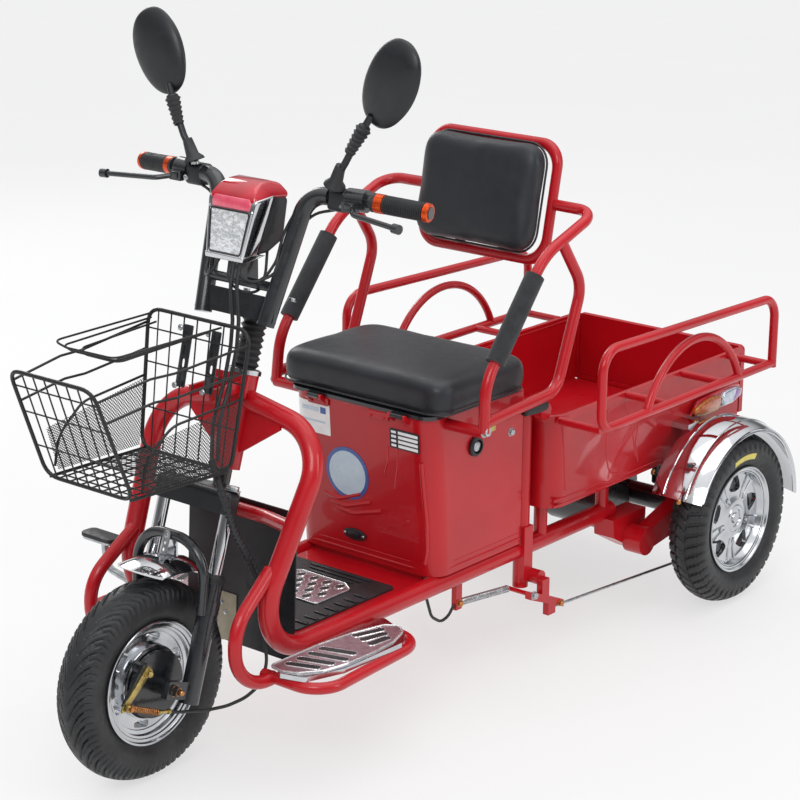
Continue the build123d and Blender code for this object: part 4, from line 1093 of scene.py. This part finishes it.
# Seat: the pad and the piping round its foot. Sizes in mm; pressure swells it, cap limits that,
# calm is the passes that smooth it, and crown lifts its middle.
seatLook = {"corner": 44, "edge": 16, "voxel": 6, "pressure": 4, "cap": 6, "calm": 30, "crown": 7,
            "piping": 2.0, "pipingUp": 8}
seatLow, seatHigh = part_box("seat_cushion")
seatMiddle = (seatLow + seatHigh) / 2
seatSize = (seatHigh - seatLow) * 1000
seat = pad((seatSize.x - 4, seatSize.y, seatSize.z - 8),
           Matrix.Translation(seatMiddle + Vector((0, 0.004, -0.003))), seatLook)
pipingPlace = Vector((0, seatMiddle.y, seatLow.z))
piping = laid(roundRect(seatSize.x - 14, seatSize.y - 14, seatLook["corner"], 8),
              Matrix.Translation(pipingPlace), seatLook["pipingUp"])
piping = paint(wires([piping], seatLook["piping"], closed=True), seatVinyl)
seat = finish([seat, piping], "seatPad", "seat", 60)
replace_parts(seat, "seat_cushion")

# Back pad: leaned, with a soft front and a welded edge line.
backLook = {"size": (292, 219, 44), "corner": 42, "edge": 14, "voxel": 5, "pressure": 4, "cap": 5,
            "calm": 30, "crown": 7, "piping": 2.4, "lean": (0, 47, 226)}
leanBack = Vector(backLook["lean"]).normalized()
padOut = Vector((0, -leanBack.z, leanBack.y))
padMatrix = facing(middleOf("backrest_pad"), padOut, (-1, 0, 0))
padMatrix = padMatrix @ Matrix.Translation((0, -0.003, 0.004))
backPad = pad(backLook["size"], padMatrix, backLook)
padLine = laid(roundRect(289, 216, 44, 8), padMatrix, -12)
padTrim = paint(wires([padLine], backLook["piping"], closed=True), seatVinyl)
backPad = finish([backPad, padTrim], "backPadSoft", "root", 60)
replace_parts(backPad, "backrest_pad")
print("cushions done")

# Seat box front: the sheet leans, so its details sit on one leaning plane. Heights and distances
# from the rear axle in mm; flat is the half width before the rounded corner starts.
boxLook = {"foot": (0, -804, 235), "head": (0, -827, 558), "flat": 134.5, "corner": 42}
boxLow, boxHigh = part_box("seat_box")
boxFoot, boxHead = rearPath(boxLook["foot"], boxLook["head"])
boxUp = (boxHead - boxFoot).normalized()
boxOut = Vector((0, -boxUp.z, boxUp.y))


# The middle of the box front at a height in mm.
def boxFront(height):
    low, high = boxLook["foot"][2], boxLook["head"][2]
    return boxFoot.lerp(boxHead, (height - low) / (high - low))


# A frame on the box front: x across, z the height in mm, out in front of the sheet.
def onBox(x, z, out=0.0):
    return facing(boxFront(z) + Vector((x / 1000, 0, 0)) + boxOut * out / 1000, boxOut, (1, 0, 0))


# A film of paper that follows the front and wraps round the rounded corner of the box.
def wrapped(start, width, low, high, out, material):
    deselectAll()
    bpy.ops.mesh.primitive_grid_add(x_subdivisions=24, y_subdivisions=4, size=1)
    film = bpy.context.object
    flat, corner = boxLook["flat"], boxLook["corner"]
    for vertex in film.data.vertices:
        along = start + (0.5 - vertex.co.x) * width
        height = low + (0.5 + vertex.co.y) * (high - low)
        turn = max(0.0, along - flat) / corner
        across = min(along, flat) + (corner + out) * math.sin(turn)
        back = (corner + out) * (1 - math.cos(turn)) - out
        vertex.co = onBox(-across, height).translation + Vector((0, back / 1000, 0))
    return paint(film, material)


# A thin blank label of the outline given, stuck on the box front.
def sticker(outline, thick, x, z, out, material, **edge):
    return paint(plate(outline, thick, onBox(x, z, out), **edge), material)


# Each wrapped film: start, width, low and high edge, how far out, and what it is made of.
films = [
    (74, 93, 477, 541, 0.4, paperFilm), (84, 14, 520, 533, 0.7, blueFilm),
    (102, 44, 522, 531, 0.7, skyFilm), (86, 60, 500, 504, 0.7, skyFilm),
]
boxParts = [wrapped(*film) for film in films]
boxParts.append(
    sticker(roundRect(72, 40, 3), 0.9, 113, 508, 0.2, blackPlastic, edge=0.3, segments=1))
for row in range(4):
    boxParts.append(sticker(roundRect(48, 6, 1), 0.4, 122, 521 - row * 9, 1.0, paperFilm))
    boxParts.append(sticker(roundRect(12, 5, 1), 0.4, 87, 521 - row * 9, 1.0, paperFilm))
boxParts.append(sticker(oval(108, 108, 48), 0.8, -35, 409, 0.2, blueFilm))
boxParts.append(sticker(oval(92, 92, 48), 0.5, -35, 409, 0.9, skyFilm))
finish(boxParts, "boxLabels", "root", 30)


# A raised bead or crease in the sheet: half a round rod on the surface.
def bead(points, radius, corner=20, closed=False):
    return paint(wires([points], radius, corner=corner, closed=closed, sides=10), redEnamel)


# Creases of the box front, as (x, height) points, then out, radius and corner.
creases = [
    ([(-98 + row * 16, 356 - row * 13), (-62 + row * 18, 350 - row * 12),
      (-4 + row * 26, 372 - row * 12)], -3.4, 6.0, 30)
    for row in range(3)]
creases += [
    ([(150, 470), (152, 420), (157, 350), (155, 290), (148, 262)], -3, 5, 60),
    ([(95, 492), (93, 447), (83, 402)], -2.4, 3.4, 30),
    ([(72, 488), (70, 459), (60, 430)], -2.4, 3.4, 30),
]
boxBeads = [bead([onBox(x, z, out).translation for x, z in points], radius, corner)
            for points, out, radius, corner in creases]
sideX, rearY = boxHigh.x - 0.001, boxHigh.y - 0.004
for height, radius in ((boxLow.z + 0.012, 3.2), (boxLow.z + 0.024, 1.8), (boxHigh.z - 0.006, 3.4)):
    frontY = boxFront(height * 1000).y + 0.001
    corners = ((-sideX, rearY), (-sideX, frontY), (sideX, frontY), (sideX, rearY))
    boxBeads.append(bead([Vector((x, y, height)) for x, y in corners], radius, 62))
for x in (-120, 30):
    hinge = plate(roundRect(52, 16, 2), 1.6, onBox(x + 20, 547, 2.0), edge=0.4, segments=1)
    boxBeads.append(paint(hinge, redEnamel))
    for offset in (4, 36):
        boxBeads.append(screwHead(onBox(x + offset, 545, 3.4).translation, boxOut, 6, redEnamel))
finish(boxBeads, "boxPressings", "root", 40)

# Charging socket, side lock port and its latch parts.
socket = [paint(plate(oval(58, 24, 40), 4, onBox(-22, 284, 0.2), edge=1.2), blackRubber),
          paint(plate(oval(28, 15, 30), 2.6, onBox(-22, 284, 4.0), edge=0.8), blackPlastic)]
for x in (-45, 1):
    socket.append(screwHead(onBox(x, 284, 3.6).translation, boxOut, 6.5))
finish(socket, "chargeSocket", "root", 35)
sideFace = Vector((1, 0, 0))
wallX = boxHigh.x * 1000
port = fromRear(wallX + 0.2, -688, 478)
portRing = [(0, 20), (5, 20), (8, 17), (8, 14), (2, 13), (2, 0)]
tagPlace = facing(fromRear(wallX + 0.1, -636, 503), sideFace, (0, 1, 0))
lockTag = plate(roundRect(26, 17, 1), 0.5, tagPlace)
lock = [paint(spun(portRing, port, sideFace, steps=40), blackPlastic),
        paint(spun([(2, 10), (6, 10), (7, 8.5), (7, 0)], port, sideFace, steps=32), zincSteel),
        paint(lockTag, goldZinc)]
finish(lock, "sideLock", "root", 35)
print("seat box done")

# Floor: ribs in the mat, and a bright tread plate with rimmed oval holes. Sizes in mm; middle is
# the plate's place from the front axle.
floorLook = {
    "plate": [(-58, -86), (40, -86), (58, -60), (58, 50), (30, 86), (-50, 86), (-58, 70)],
    "thick": 1.6, "middle": (-12, 440), "rows": 4, "rowStep": 26, "columnStep": 33,
    "ribs": 7, "ribSize": (30, 9, 3.4), "ribOut": 112, "backRibs": 3,
}
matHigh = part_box("floor_mat")[1]
matTop = matHigh.z
plateX, plateY = floorLook["middle"]
plateMiddle = Vector((plateX / 1000, frontAxle.y + plateY / 1000, matTop + 0.0002))
plateMatrix = facing(plateMiddle, (0, 0, 1), (0, 1, 0))
plateRim = wires([laid(floorLook["plate"], plateMatrix, 1.6)], 1.7, corner=8, closed=True)
floorParts = [
    paint(plate(floorLook["plate"], floorLook["thick"], plateMatrix, edge=0.5), treadPlate),
    paint(plateRim, brightRim),
]
for row in range(floorLook["rows"]):
    odd = row % 2
    for column in range(4 + odd):
        x = -40 + row * floorLook["rowStep"]
        y = -64 + column * floorLook["columnStep"] + (0 if odd else 16)
        hole = facing(plateMatrix @ Vector((x / 1000, y / 1000, 0.0017)), (0, 0, 1), (0, 1, 0))
        rim = wires([laid(oval(24, 17, 20), hole)], 1.9, closed=True, sides=6)
        floorParts.append(paint(rim, brightRim))
        floorParts.append(paint(plate(oval(22, 15, 20), 1.2, hole), blackRubber))
ribZ = matTop + 0.0012
for side, sign in sides:
    for row in range(floorLook["ribs"]):
        place = Vector((sign * floorLook["ribOut"] / 1000, frontAxle.y + 0.300 + row * 0.028, ribZ))
        rib = block(floorLook["ribSize"], Matrix.Translation(place), 1.4)
        floorParts.append(paint(rib, blackRubber))
for row in range(floorLook["backRibs"]):
    place = Vector((0, matHigh.y - 0.012 - row * 0.015, ribZ))
    rib = block((150 - row * 20, 7, 3.4), Matrix.Translation(place), 1.4)
    floorParts.append(paint(rib, blackRubber))
finish(floorParts, "floorTread", "root", 35)

# Footboards: a bright plate with a rolled rim and slots with raised rims. The outline is for the
# left side, in mm from the middle of the board's length.
boardLook = {
    "outline": [(184, -148), (214, -150), (244, -138), (270, -104), (282, -48), (284, 20),
                (280, 78), (262, 128), (238, 146), (214, 128), (196, 60), (186, -20)],
    "rim": 2.2, "slotRim": 1.3, "crossSlots": 4, "leanSlots": 3,
}
boardLow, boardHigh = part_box("footboards")
boardY = (boardLow.y + boardHigh.y) / 2
slots = []
for index in range(boardLook["crossSlots"]):
    y = -118 + index * 30
    slots.append(((205, y), (266 - abs(index - 2) * 7, y + 18), 8.6))
for index in range(boardLook["leanSlots"]):
    slots.append(((210 + index * 23, 58 - index * 6), (226 + index * 17, 108 - index * 12), 8.2))
for side, sign in sides:
    board = Matrix.Translation((0, boardY, boardHigh.z))
    outline = [(sign * x, y) for x, y in boardLook["outline"]]
    film = [(x * 0.985 + sign * 3.4, y * 0.975) for x, y in outline]
    filmMatrix = board @ Matrix.Translation((0, 0, 0.0002))
    rim = wires([laid(outline, board, 0.8)], boardLook["rim"], corner=24, closed=True)
    parts = [paint(rim, brightRim), paint(plate(film, 1.0, filmMatrix), treadPlate)]
    for start, end, width in slots:
        first, second = laid([(sign * x, y) for x, y in (start, end)], board, 1.3)
        run = second - first
        matrix = facing((first + second) / 2, (0, 0, 1), run)
        slot = roundRect(run.length * 1000 + 2 * width, 2 * width, width * 0.98, 6)
        slotRim = wires([laid(slot, matrix)], boardLook["slotRim"], closed=True, sides=6)
        parts.append(paint(slotRim, brightRim))
        hole = plate([(x * 0.97, y * 0.92) for x, y in slot], 0.9, matrix)
        parts.append(paint(hole, blackRubber))
    finish(parts, side + "BoardTread", "root", 35)
print("floor done")

# Load bed: rim band, double bead, corner crease and pressed arcs on each side; ribs inside. Each
# line holds (back, height, out) points, then its radius and corner, in mm.
bedLook = {
    "lines": [
        ([(-482, 486, -1), (190, 486, -1)], 3.0, 20),
        ([(-484, 320, -1.4), (-330, 318, -1.4), (-296, 312, -1.4), (-100, 312, -1.4)], 3.2, 60),
        ([(-484, 308, -1.2), (-318, 306, -1.2), (-290, 303.5, -1.2), (-100, 303.5, -1.2)], 2.4, 60),
        ([(-458, 478, -1.8), (-452, 420, -1.8), (-446, 334, -1.8)], 3.4, 60),
        ([(-304, 470, -1.8), (-304, 372, -1.8), (-292, 334, -1.8), (-262, 326, -1.8)], 3.2, 50),
        ([(-238, 470, -1.8), (-214, 412, -1.8), (-196, 345, -1.8)], 3.0, 60),
        ([(-150, 470, -1.8), (-186, 430, -1.8), (-200, 372, -1.8), (-186, 330, -1.8)], 3.0, 60),
    ],
    "ribs": range(-168, 169, 48), "rib": (20, 600, 3.2),
    "sideLip": (7, 5, 145), "lip": (426, 2.4, 16),
    "gate": (380, 118, 18), "latch": (14, 8, 30),
}
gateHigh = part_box("tailgate")[1]
bedSide = (middleOf("cargo_bed").x + gateHigh.x) * 1000
bedParts = []
for side, sign in sides:
    for points, radius, corner in bedLook["lines"]:
        line = [fromRear(sign * (bedSide + out), back, up) for back, up, out in points]
        bedParts.append(bead(line, radius, corner))
    lip = block(bedLook["sideLip"], Matrix.Translation(fromRear(sign * 214.5, 201.2, 415)), 0.8)
    bedParts.append(paint(lip, redEnamel))
lip = block(bedLook["lip"], Matrix.Translation(fromRear(0, 202, 344)), 0.6)
bedParts.append(paint(lip, redEnamel))
for x in bedLook["ribs"]:
    rib = block(bedLook["rib"], Matrix.Translation(fromRear(x, -150, 338.6)), 1.4)
    bedParts.append(paint(rib, redEnamel))
finish(bedParts, "bedPressings", "root", 40)

# Tailgate: a raised rim round its face and a latch at each upper corner.
gateZ = middleOf("tailgate").z
gateOutline = [Vector((x / 1000, gateHigh.y - 0.0028, gateZ + z / 1000))
               for x, z in roundRect(*bedLook["gate"])]
gateParts = [bead(gateOutline, 2.6, 0, True)]
for side, sign in sides:
    place = Vector((sign * 0.2, gateHigh.y - 0.0042, gateZ + 0.055))
    gateParts.append(paint(block(bedLook["latch"], Matrix.Translation(place), 2), redEnamel))
finish(gateParts, "gatePressing", "rear_gate", 40)
print("bed done")

# Tail lamps: red housing, amber drop, clear and lilac lens, gold line. Outlines are (back, up) from
# the lamp's middle, in mm, and height is that of its middle.
tailLook = {
    "height": 401,
    "amber": [(-4, -10), (30, -17), (84, -16), (98, -2), (92, 13), (60, 15), (20, 9), (-2, 2)],
    "clear": [(102, -14), (140, -15), (176, -4), (178, 14), (150, 19), (112, 18), (100, 6)],
    "lilac": [(138, -13), (172, -3), (174, 12), (152, 16)],
    "housing": [(-8, -12.5), (30, -21.25), (150, -20), (184, -5), (184, 17.5), (150, 23.75),
                (20, 15)],
}


# One part of a tail lamp, out from the middle of the machine.
def lens(sign, name, out, thick, edge, segments, material):
    face = facing(fromRear(sign * out, 0, tailLook["height"]), (sign, 0, 0), (0, sign, 0))
    outline = [(sign * back, up) for back, up in tailLook[name]]
    return paint(plate(outline, thick, face, edge=edge, segments=segments), material)


for side, sign in sides:
    line = [fromRear(sign * 240, back, tailLook["height"] + up) for back, up in tailLook["amber"]]
    parts = [
        lens(sign, "amber", 229.5, 14, 5, 3, amberLens),
        lens(sign, "clear", 229.5, 14, 5, 3, clearLens),
        lens(sign, "lilac", 231, 13.4, 4, 3, lilacLens),
        paint(wires([line], 1.4, corner=6, closed=True), goldZinc),
        lens(sign, "housing", 225, 7, 2, 2, redLens),
    ]
    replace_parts(finish(parts, side + "TailLens", "root", 35), "tail_lamps")

# Rear fenders: rolled edges and a crease round the crown, stay bolts of brass. The arc is in
# degrees; each bolt has its (back, height) from the rear axle, width and height.
fenderLook = {"arcStart": 4.5, "arc": 150, "steps": 40, "edge": 2.6, "inner": 1.6, "crease": 1.8,
              "bolts": [(-148, 300, 10, 5), (-108, 262, 12, 6)]}
fenderLow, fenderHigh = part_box("rear_fender_left")
fenderRadius = (fenderHigh.z - rearAxle.z) * 1000
outerX, innerX = fenderHigh.x * 1000, fenderLow.x * 1000
fenderLines = [
    (outerX - 2.7, fenderRadius - 22, fenderLook["edge"]),
    (innerX + 70, fenderRadius - 1.4, fenderLook["inner"]),
    (outerX - 34, fenderRadius - 2.8, fenderLook["crease"]),
]
for side, sign in sides:
    parts = []
    for x, radius, thick in fenderLines:
        path = []
        for step in range(fenderLook["steps"] + 1):
            share = step / fenderLook["steps"]
            angle = math.radians(fenderLook["arcStart"] + fenderLook["arc"] * share)
            path.append(rearAxle + (Vector((sign * x, 0, 0)) + around(angle) * radius) / 1000)
        parts.append(paint(wires([path], thick), chromePlate))
    for back, up, across, height in fenderLook["bolts"]:
        place = fromRear(sign * 232, back, up)
        parts.append(boltHead(place, (sign, 0, 0), across, height, brassNut))
    parts.append(screwHead(fromRear(sign * 330, -196, 268), (0.3 * sign, -1, 0.1), 11, brassNut))
    finish(parts, side + "FenderTrim", "root", 35)
print("lamps and fenders done")

# Coil springs between the bed and the axle beam, in mm.
springLook = {"radius": 17.5, "wire": 7, "turns": 6, "inset": 22, "ends": 10}
springLow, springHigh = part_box("rear_springs")
springX = springHigh.x - springLook["inset"] / 1000
springY = middleOf("rear_springs").y
springEnds = springLook["ends"] / 1000
springs = []
for side, sign in sides:
    springs.append(coilSpring(
        Vector((springX * sign, springY, springLow.z + springEnds)),
        Vector((springX * sign, springY, springHigh.z - springEnds)),
        springLook["radius"], springLook["wire"], springLook["turns"], blackEnamel))
finish(springs, "springCoils", "root", 50)

# Rear fittings: bolts of the arm frame and steps, brake return spring and cable, pedal pad, knob.
# Each bolt has its (out, back, height) from the rear axle, width, height and material.
fittings = {
    "armBolts": [((262, -770, 545), 17, 9, zincSteel), ((226, -640, 505), 12, 5, zincSteel)],
    "stepBolts": [((219, -541, 137), 13, 6, zincSteel), ((219, -450, 94), 10, 5, brassNut)],
    "spring": (6.5, 1.9, 30), "cable": 3.0, "pedalPad": (82, 38, 13), "pedalThick": 8.4,
    "knob": [(0, 10), (4, 15), (40, 16.5), (56, 15), (60, 11), (61, 0)],
}


def boltPairs(rows):
    return [boltHead(fromRear(sign * x, y, z), (sign, 0, 0), across, height, material)
            for side, sign in sides for (x, y, z), across, height, material in rows]


pedalCable = rearPath((156, -806, 196), (158, -792, 152), (158, -762, 132), (158, -738, 138),
                      (158, -722, 156))
pedalMatrix = Matrix.Translation(fromFront(-270, 165, 340))
pedalPad = plate(roundRect(*fittings["pedalPad"]), fittings["pedalThick"], pedalMatrix, edge=2.4)
knob = spun(fittings["knob"], fromRear(222, -600, 540), (0.2, 1, 0.05), steps=32)
fittingParts = boltPairs(fittings["armBolts"]) + [
    coilSpring(fromRear(158, -704, 156), fromRear(158, -548, 138), *fittings["spring"], zincSteel),
    paint(wires([pedalCable], fittings["cable"], corner=30), blackRubber),
    boltHead(fromRear(164, -713, 158), (1, 0, 0), 11, 6, brassNut),
] + boltPairs(fittings["stepBolts"]) + [paint(pedalPad, blackRubber), paint(knob, blackRubber)]
finish(fittingParts, "rearFittings", "root", 35)
print("underside done")

# Wiring loom in spiral wrap down the frame, and the leads that loop below the headlight. Radii and
# the pitch of the wrap are in mm, points from the front axle.
loomLook = {
    "core": 6.5, "wrap": 1.1, "wrapRadius": 7.2, "wrapPitch": 9, "upper": 3.6, "lead": 2.7,
    "low": [(100, 206, 262), (122, 190, 310), (127, 168, 360), (123, 146, 405), (113, 124, 455),
            (108, 112, 500), (96, 106, 540), (72, 112, 580)],
    "high": [(72, 112, 580), (50, 140, 640), (34, 186, 700), (32, 206, 760), (30, 214, 806),
             (24, 216, 870), (20, 230, 905)],
    "leads": [
        [(14, 236, 915), (18, 216, 880), (40, 232, 868), (62, 262, 876), (66, 290, 905),
         (58, 318, 950), (80, 334, 1000)],
        [(26, 240, 912), (34, 224, 886), (54, 240, 872), (76, 276, 884), (84, 306, 930),
         (110, 330, 990), (190, 342, 1010)],
        [(-14, 236, 915), (-26, 214, 878), (-52, 230, 872), (-80, 268, 890), (-92, 302, 940),
         (-120, 330, 994), (-190, 342, 1010)],
        [(2, 240, 915), (10, 222, 872), (30, 240, 850), (46, 268, 850), (40, 290, 880),
         (30, 306, 920)],
    ],
}
loomLow = frontPath(*loomLook["low"])
loomHigh = frontPath(*loomLook["high"])
loomCore = paint(wires([loomLow], loomLook["core"], corner=80, sides=10), blackRubber)
wrapRadius = loomLook["wrapRadius"] / 1000
ringTurns = [math.tau * step / 10 for step in range(10)]
wrap = []
for low, high in zip(loomLow, loomLow[1:]):
    count = int((high - low).length * 1000 / loomLook["wrapPitch"])
    for index in range(count):
        ring = facing(low.lerp(high, index / count), high - low)
        wrap.append([ring @ Vector((wrapRadius * math.cos(turn), wrapRadius * math.sin(turn),
                                    0.0008 * turn)) for turn in ringTurns])
wrapRings = paint(wires(wrap, loomLook["wrap"], sides=6), blackPlastic)
clip = paint(wires([frontPath((124, 172, 360), (138, 180, 362))], 2.4), zincSteel)
finish([loomCore, wrapRings, clip], "frameLoom", "root", 60)
besides = [point + Vector((0.011, 0.004, 0)) for point in loomHigh]
upperLoom = paint(wires([loomHigh, besides], loomLook["upper"], corner=70), blackRubber)
upperLoom = finish(upperLoom, "upperLoom", None, 60)
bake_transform(upperLoom)
leadPaths = [frontPath(*lead) for lead in loomLook["leads"]]
leadWires = paint(wires(leadPaths, loomLook["lead"], corner=60), blackRubber)
finish(leadWires, "lampLeads", "steering", 60)

# Front end trim: crown bolts, fork dust lips, the mudguard's stay and the head race. Places on the
# fork are (out, back, up) from the steering axis, in mm.
trimLook = {"crown": (78, -56.5, -185), "lip": (78, -56.5, -345), "clamp": (55, 24, 162),
            "stay": (17, 46, 7), "stayThick": 2.2, "bracketThick": 2.2}
dustLip = [(-8, 12.3), (-8, 19.6), (3, 19.6), (9, 14.5), (9, 12.3)]
raceRing = [(-6, 26), (-6, 31), (2, 31), (4, 28), (4, 26)]
trim = []
for side, sign in sides:
    crown, lipPlace, clampPlace = [
        onFork(sign * x, back, up)
        for x, back, up in (trimLook["crown"], trimLook["lip"], trimLook["clamp"])]
    trim.append(boltHead(crown, steerUp, 22, 7))
    trim.append(paint(spun(dustLip, lipPlace, steerUp, steps=32), blackRubber))
    trim.append(boltHead(clampPlace, steerUp, 12, 5))
hoopTop, guardTop = frontPath((0, 73, 441), (0, 60, 405))
tabOut = (hoopTop - guardTop).cross(Vector((-1, 0, 0)))
tabMatrix = facing((hoopTop + guardTop) / 2, tabOut, (1, 0, 0))
tab = plate(roundRect(*trimLook["stay"]), trimLook["stayThick"], tabMatrix, edge=0.5)
for up in (-12, 0, 12):
    cut(tab, plate(roundRect(7, 6, 2.5), 8, tabMatrix @ Matrix.Translation((0, up / 1000, -0.002))))
trim.append(paint(tab, zincSteel))
trim.append(screwHead(hoopTop + Vector((0, -0.002, -0.005)), tabOut, 11))
headRing = paint(spun(raceRing, onFork(0, 0, 24), steerUp, steps=40), chromePlate)
finish(trim, "forkTrim", "steering", 35)
finish(headRing, "headRace", "root", 35)

# Tan bracket ahead of the floor, with two screws.
guardOut = (0, -1, 0.05)
guardPlate = facing(fromFront(-31, 253.6, 217), guardOut, (1, 0, 0))
bracketOutline = [(-23, -50), (23, -40), (23, 48), (-23, 48)]
bracket = plate(bracketOutline, trimLook["bracketThick"], guardPlate, edge=0.5)
bracketParts = [paint(bracket, tanPaint)]
for place in laid([(-12, 27), (-2, 9)], guardPlate, trimLook["bracketThick"]):
    bracketParts.append(screwHead(place, guardOut, 11))
finish(bracketParts, "guardBracket", "root", 35)
print("looms and trim done")

# Pale floor.
deselectAll()
bpy.ops.mesh.primitive_circle_add(vertices=96, radius=60, fill_type="NGON", location=(0, 0, 0))
studioFloor = bpy.context.object
editAll(studioFloor)
bpy.ops.mesh.inset(thickness=40, depth=0)
leaveEdit()
studioFloor.name = "studioFloor"
paint(studioFloor, floorPaint)
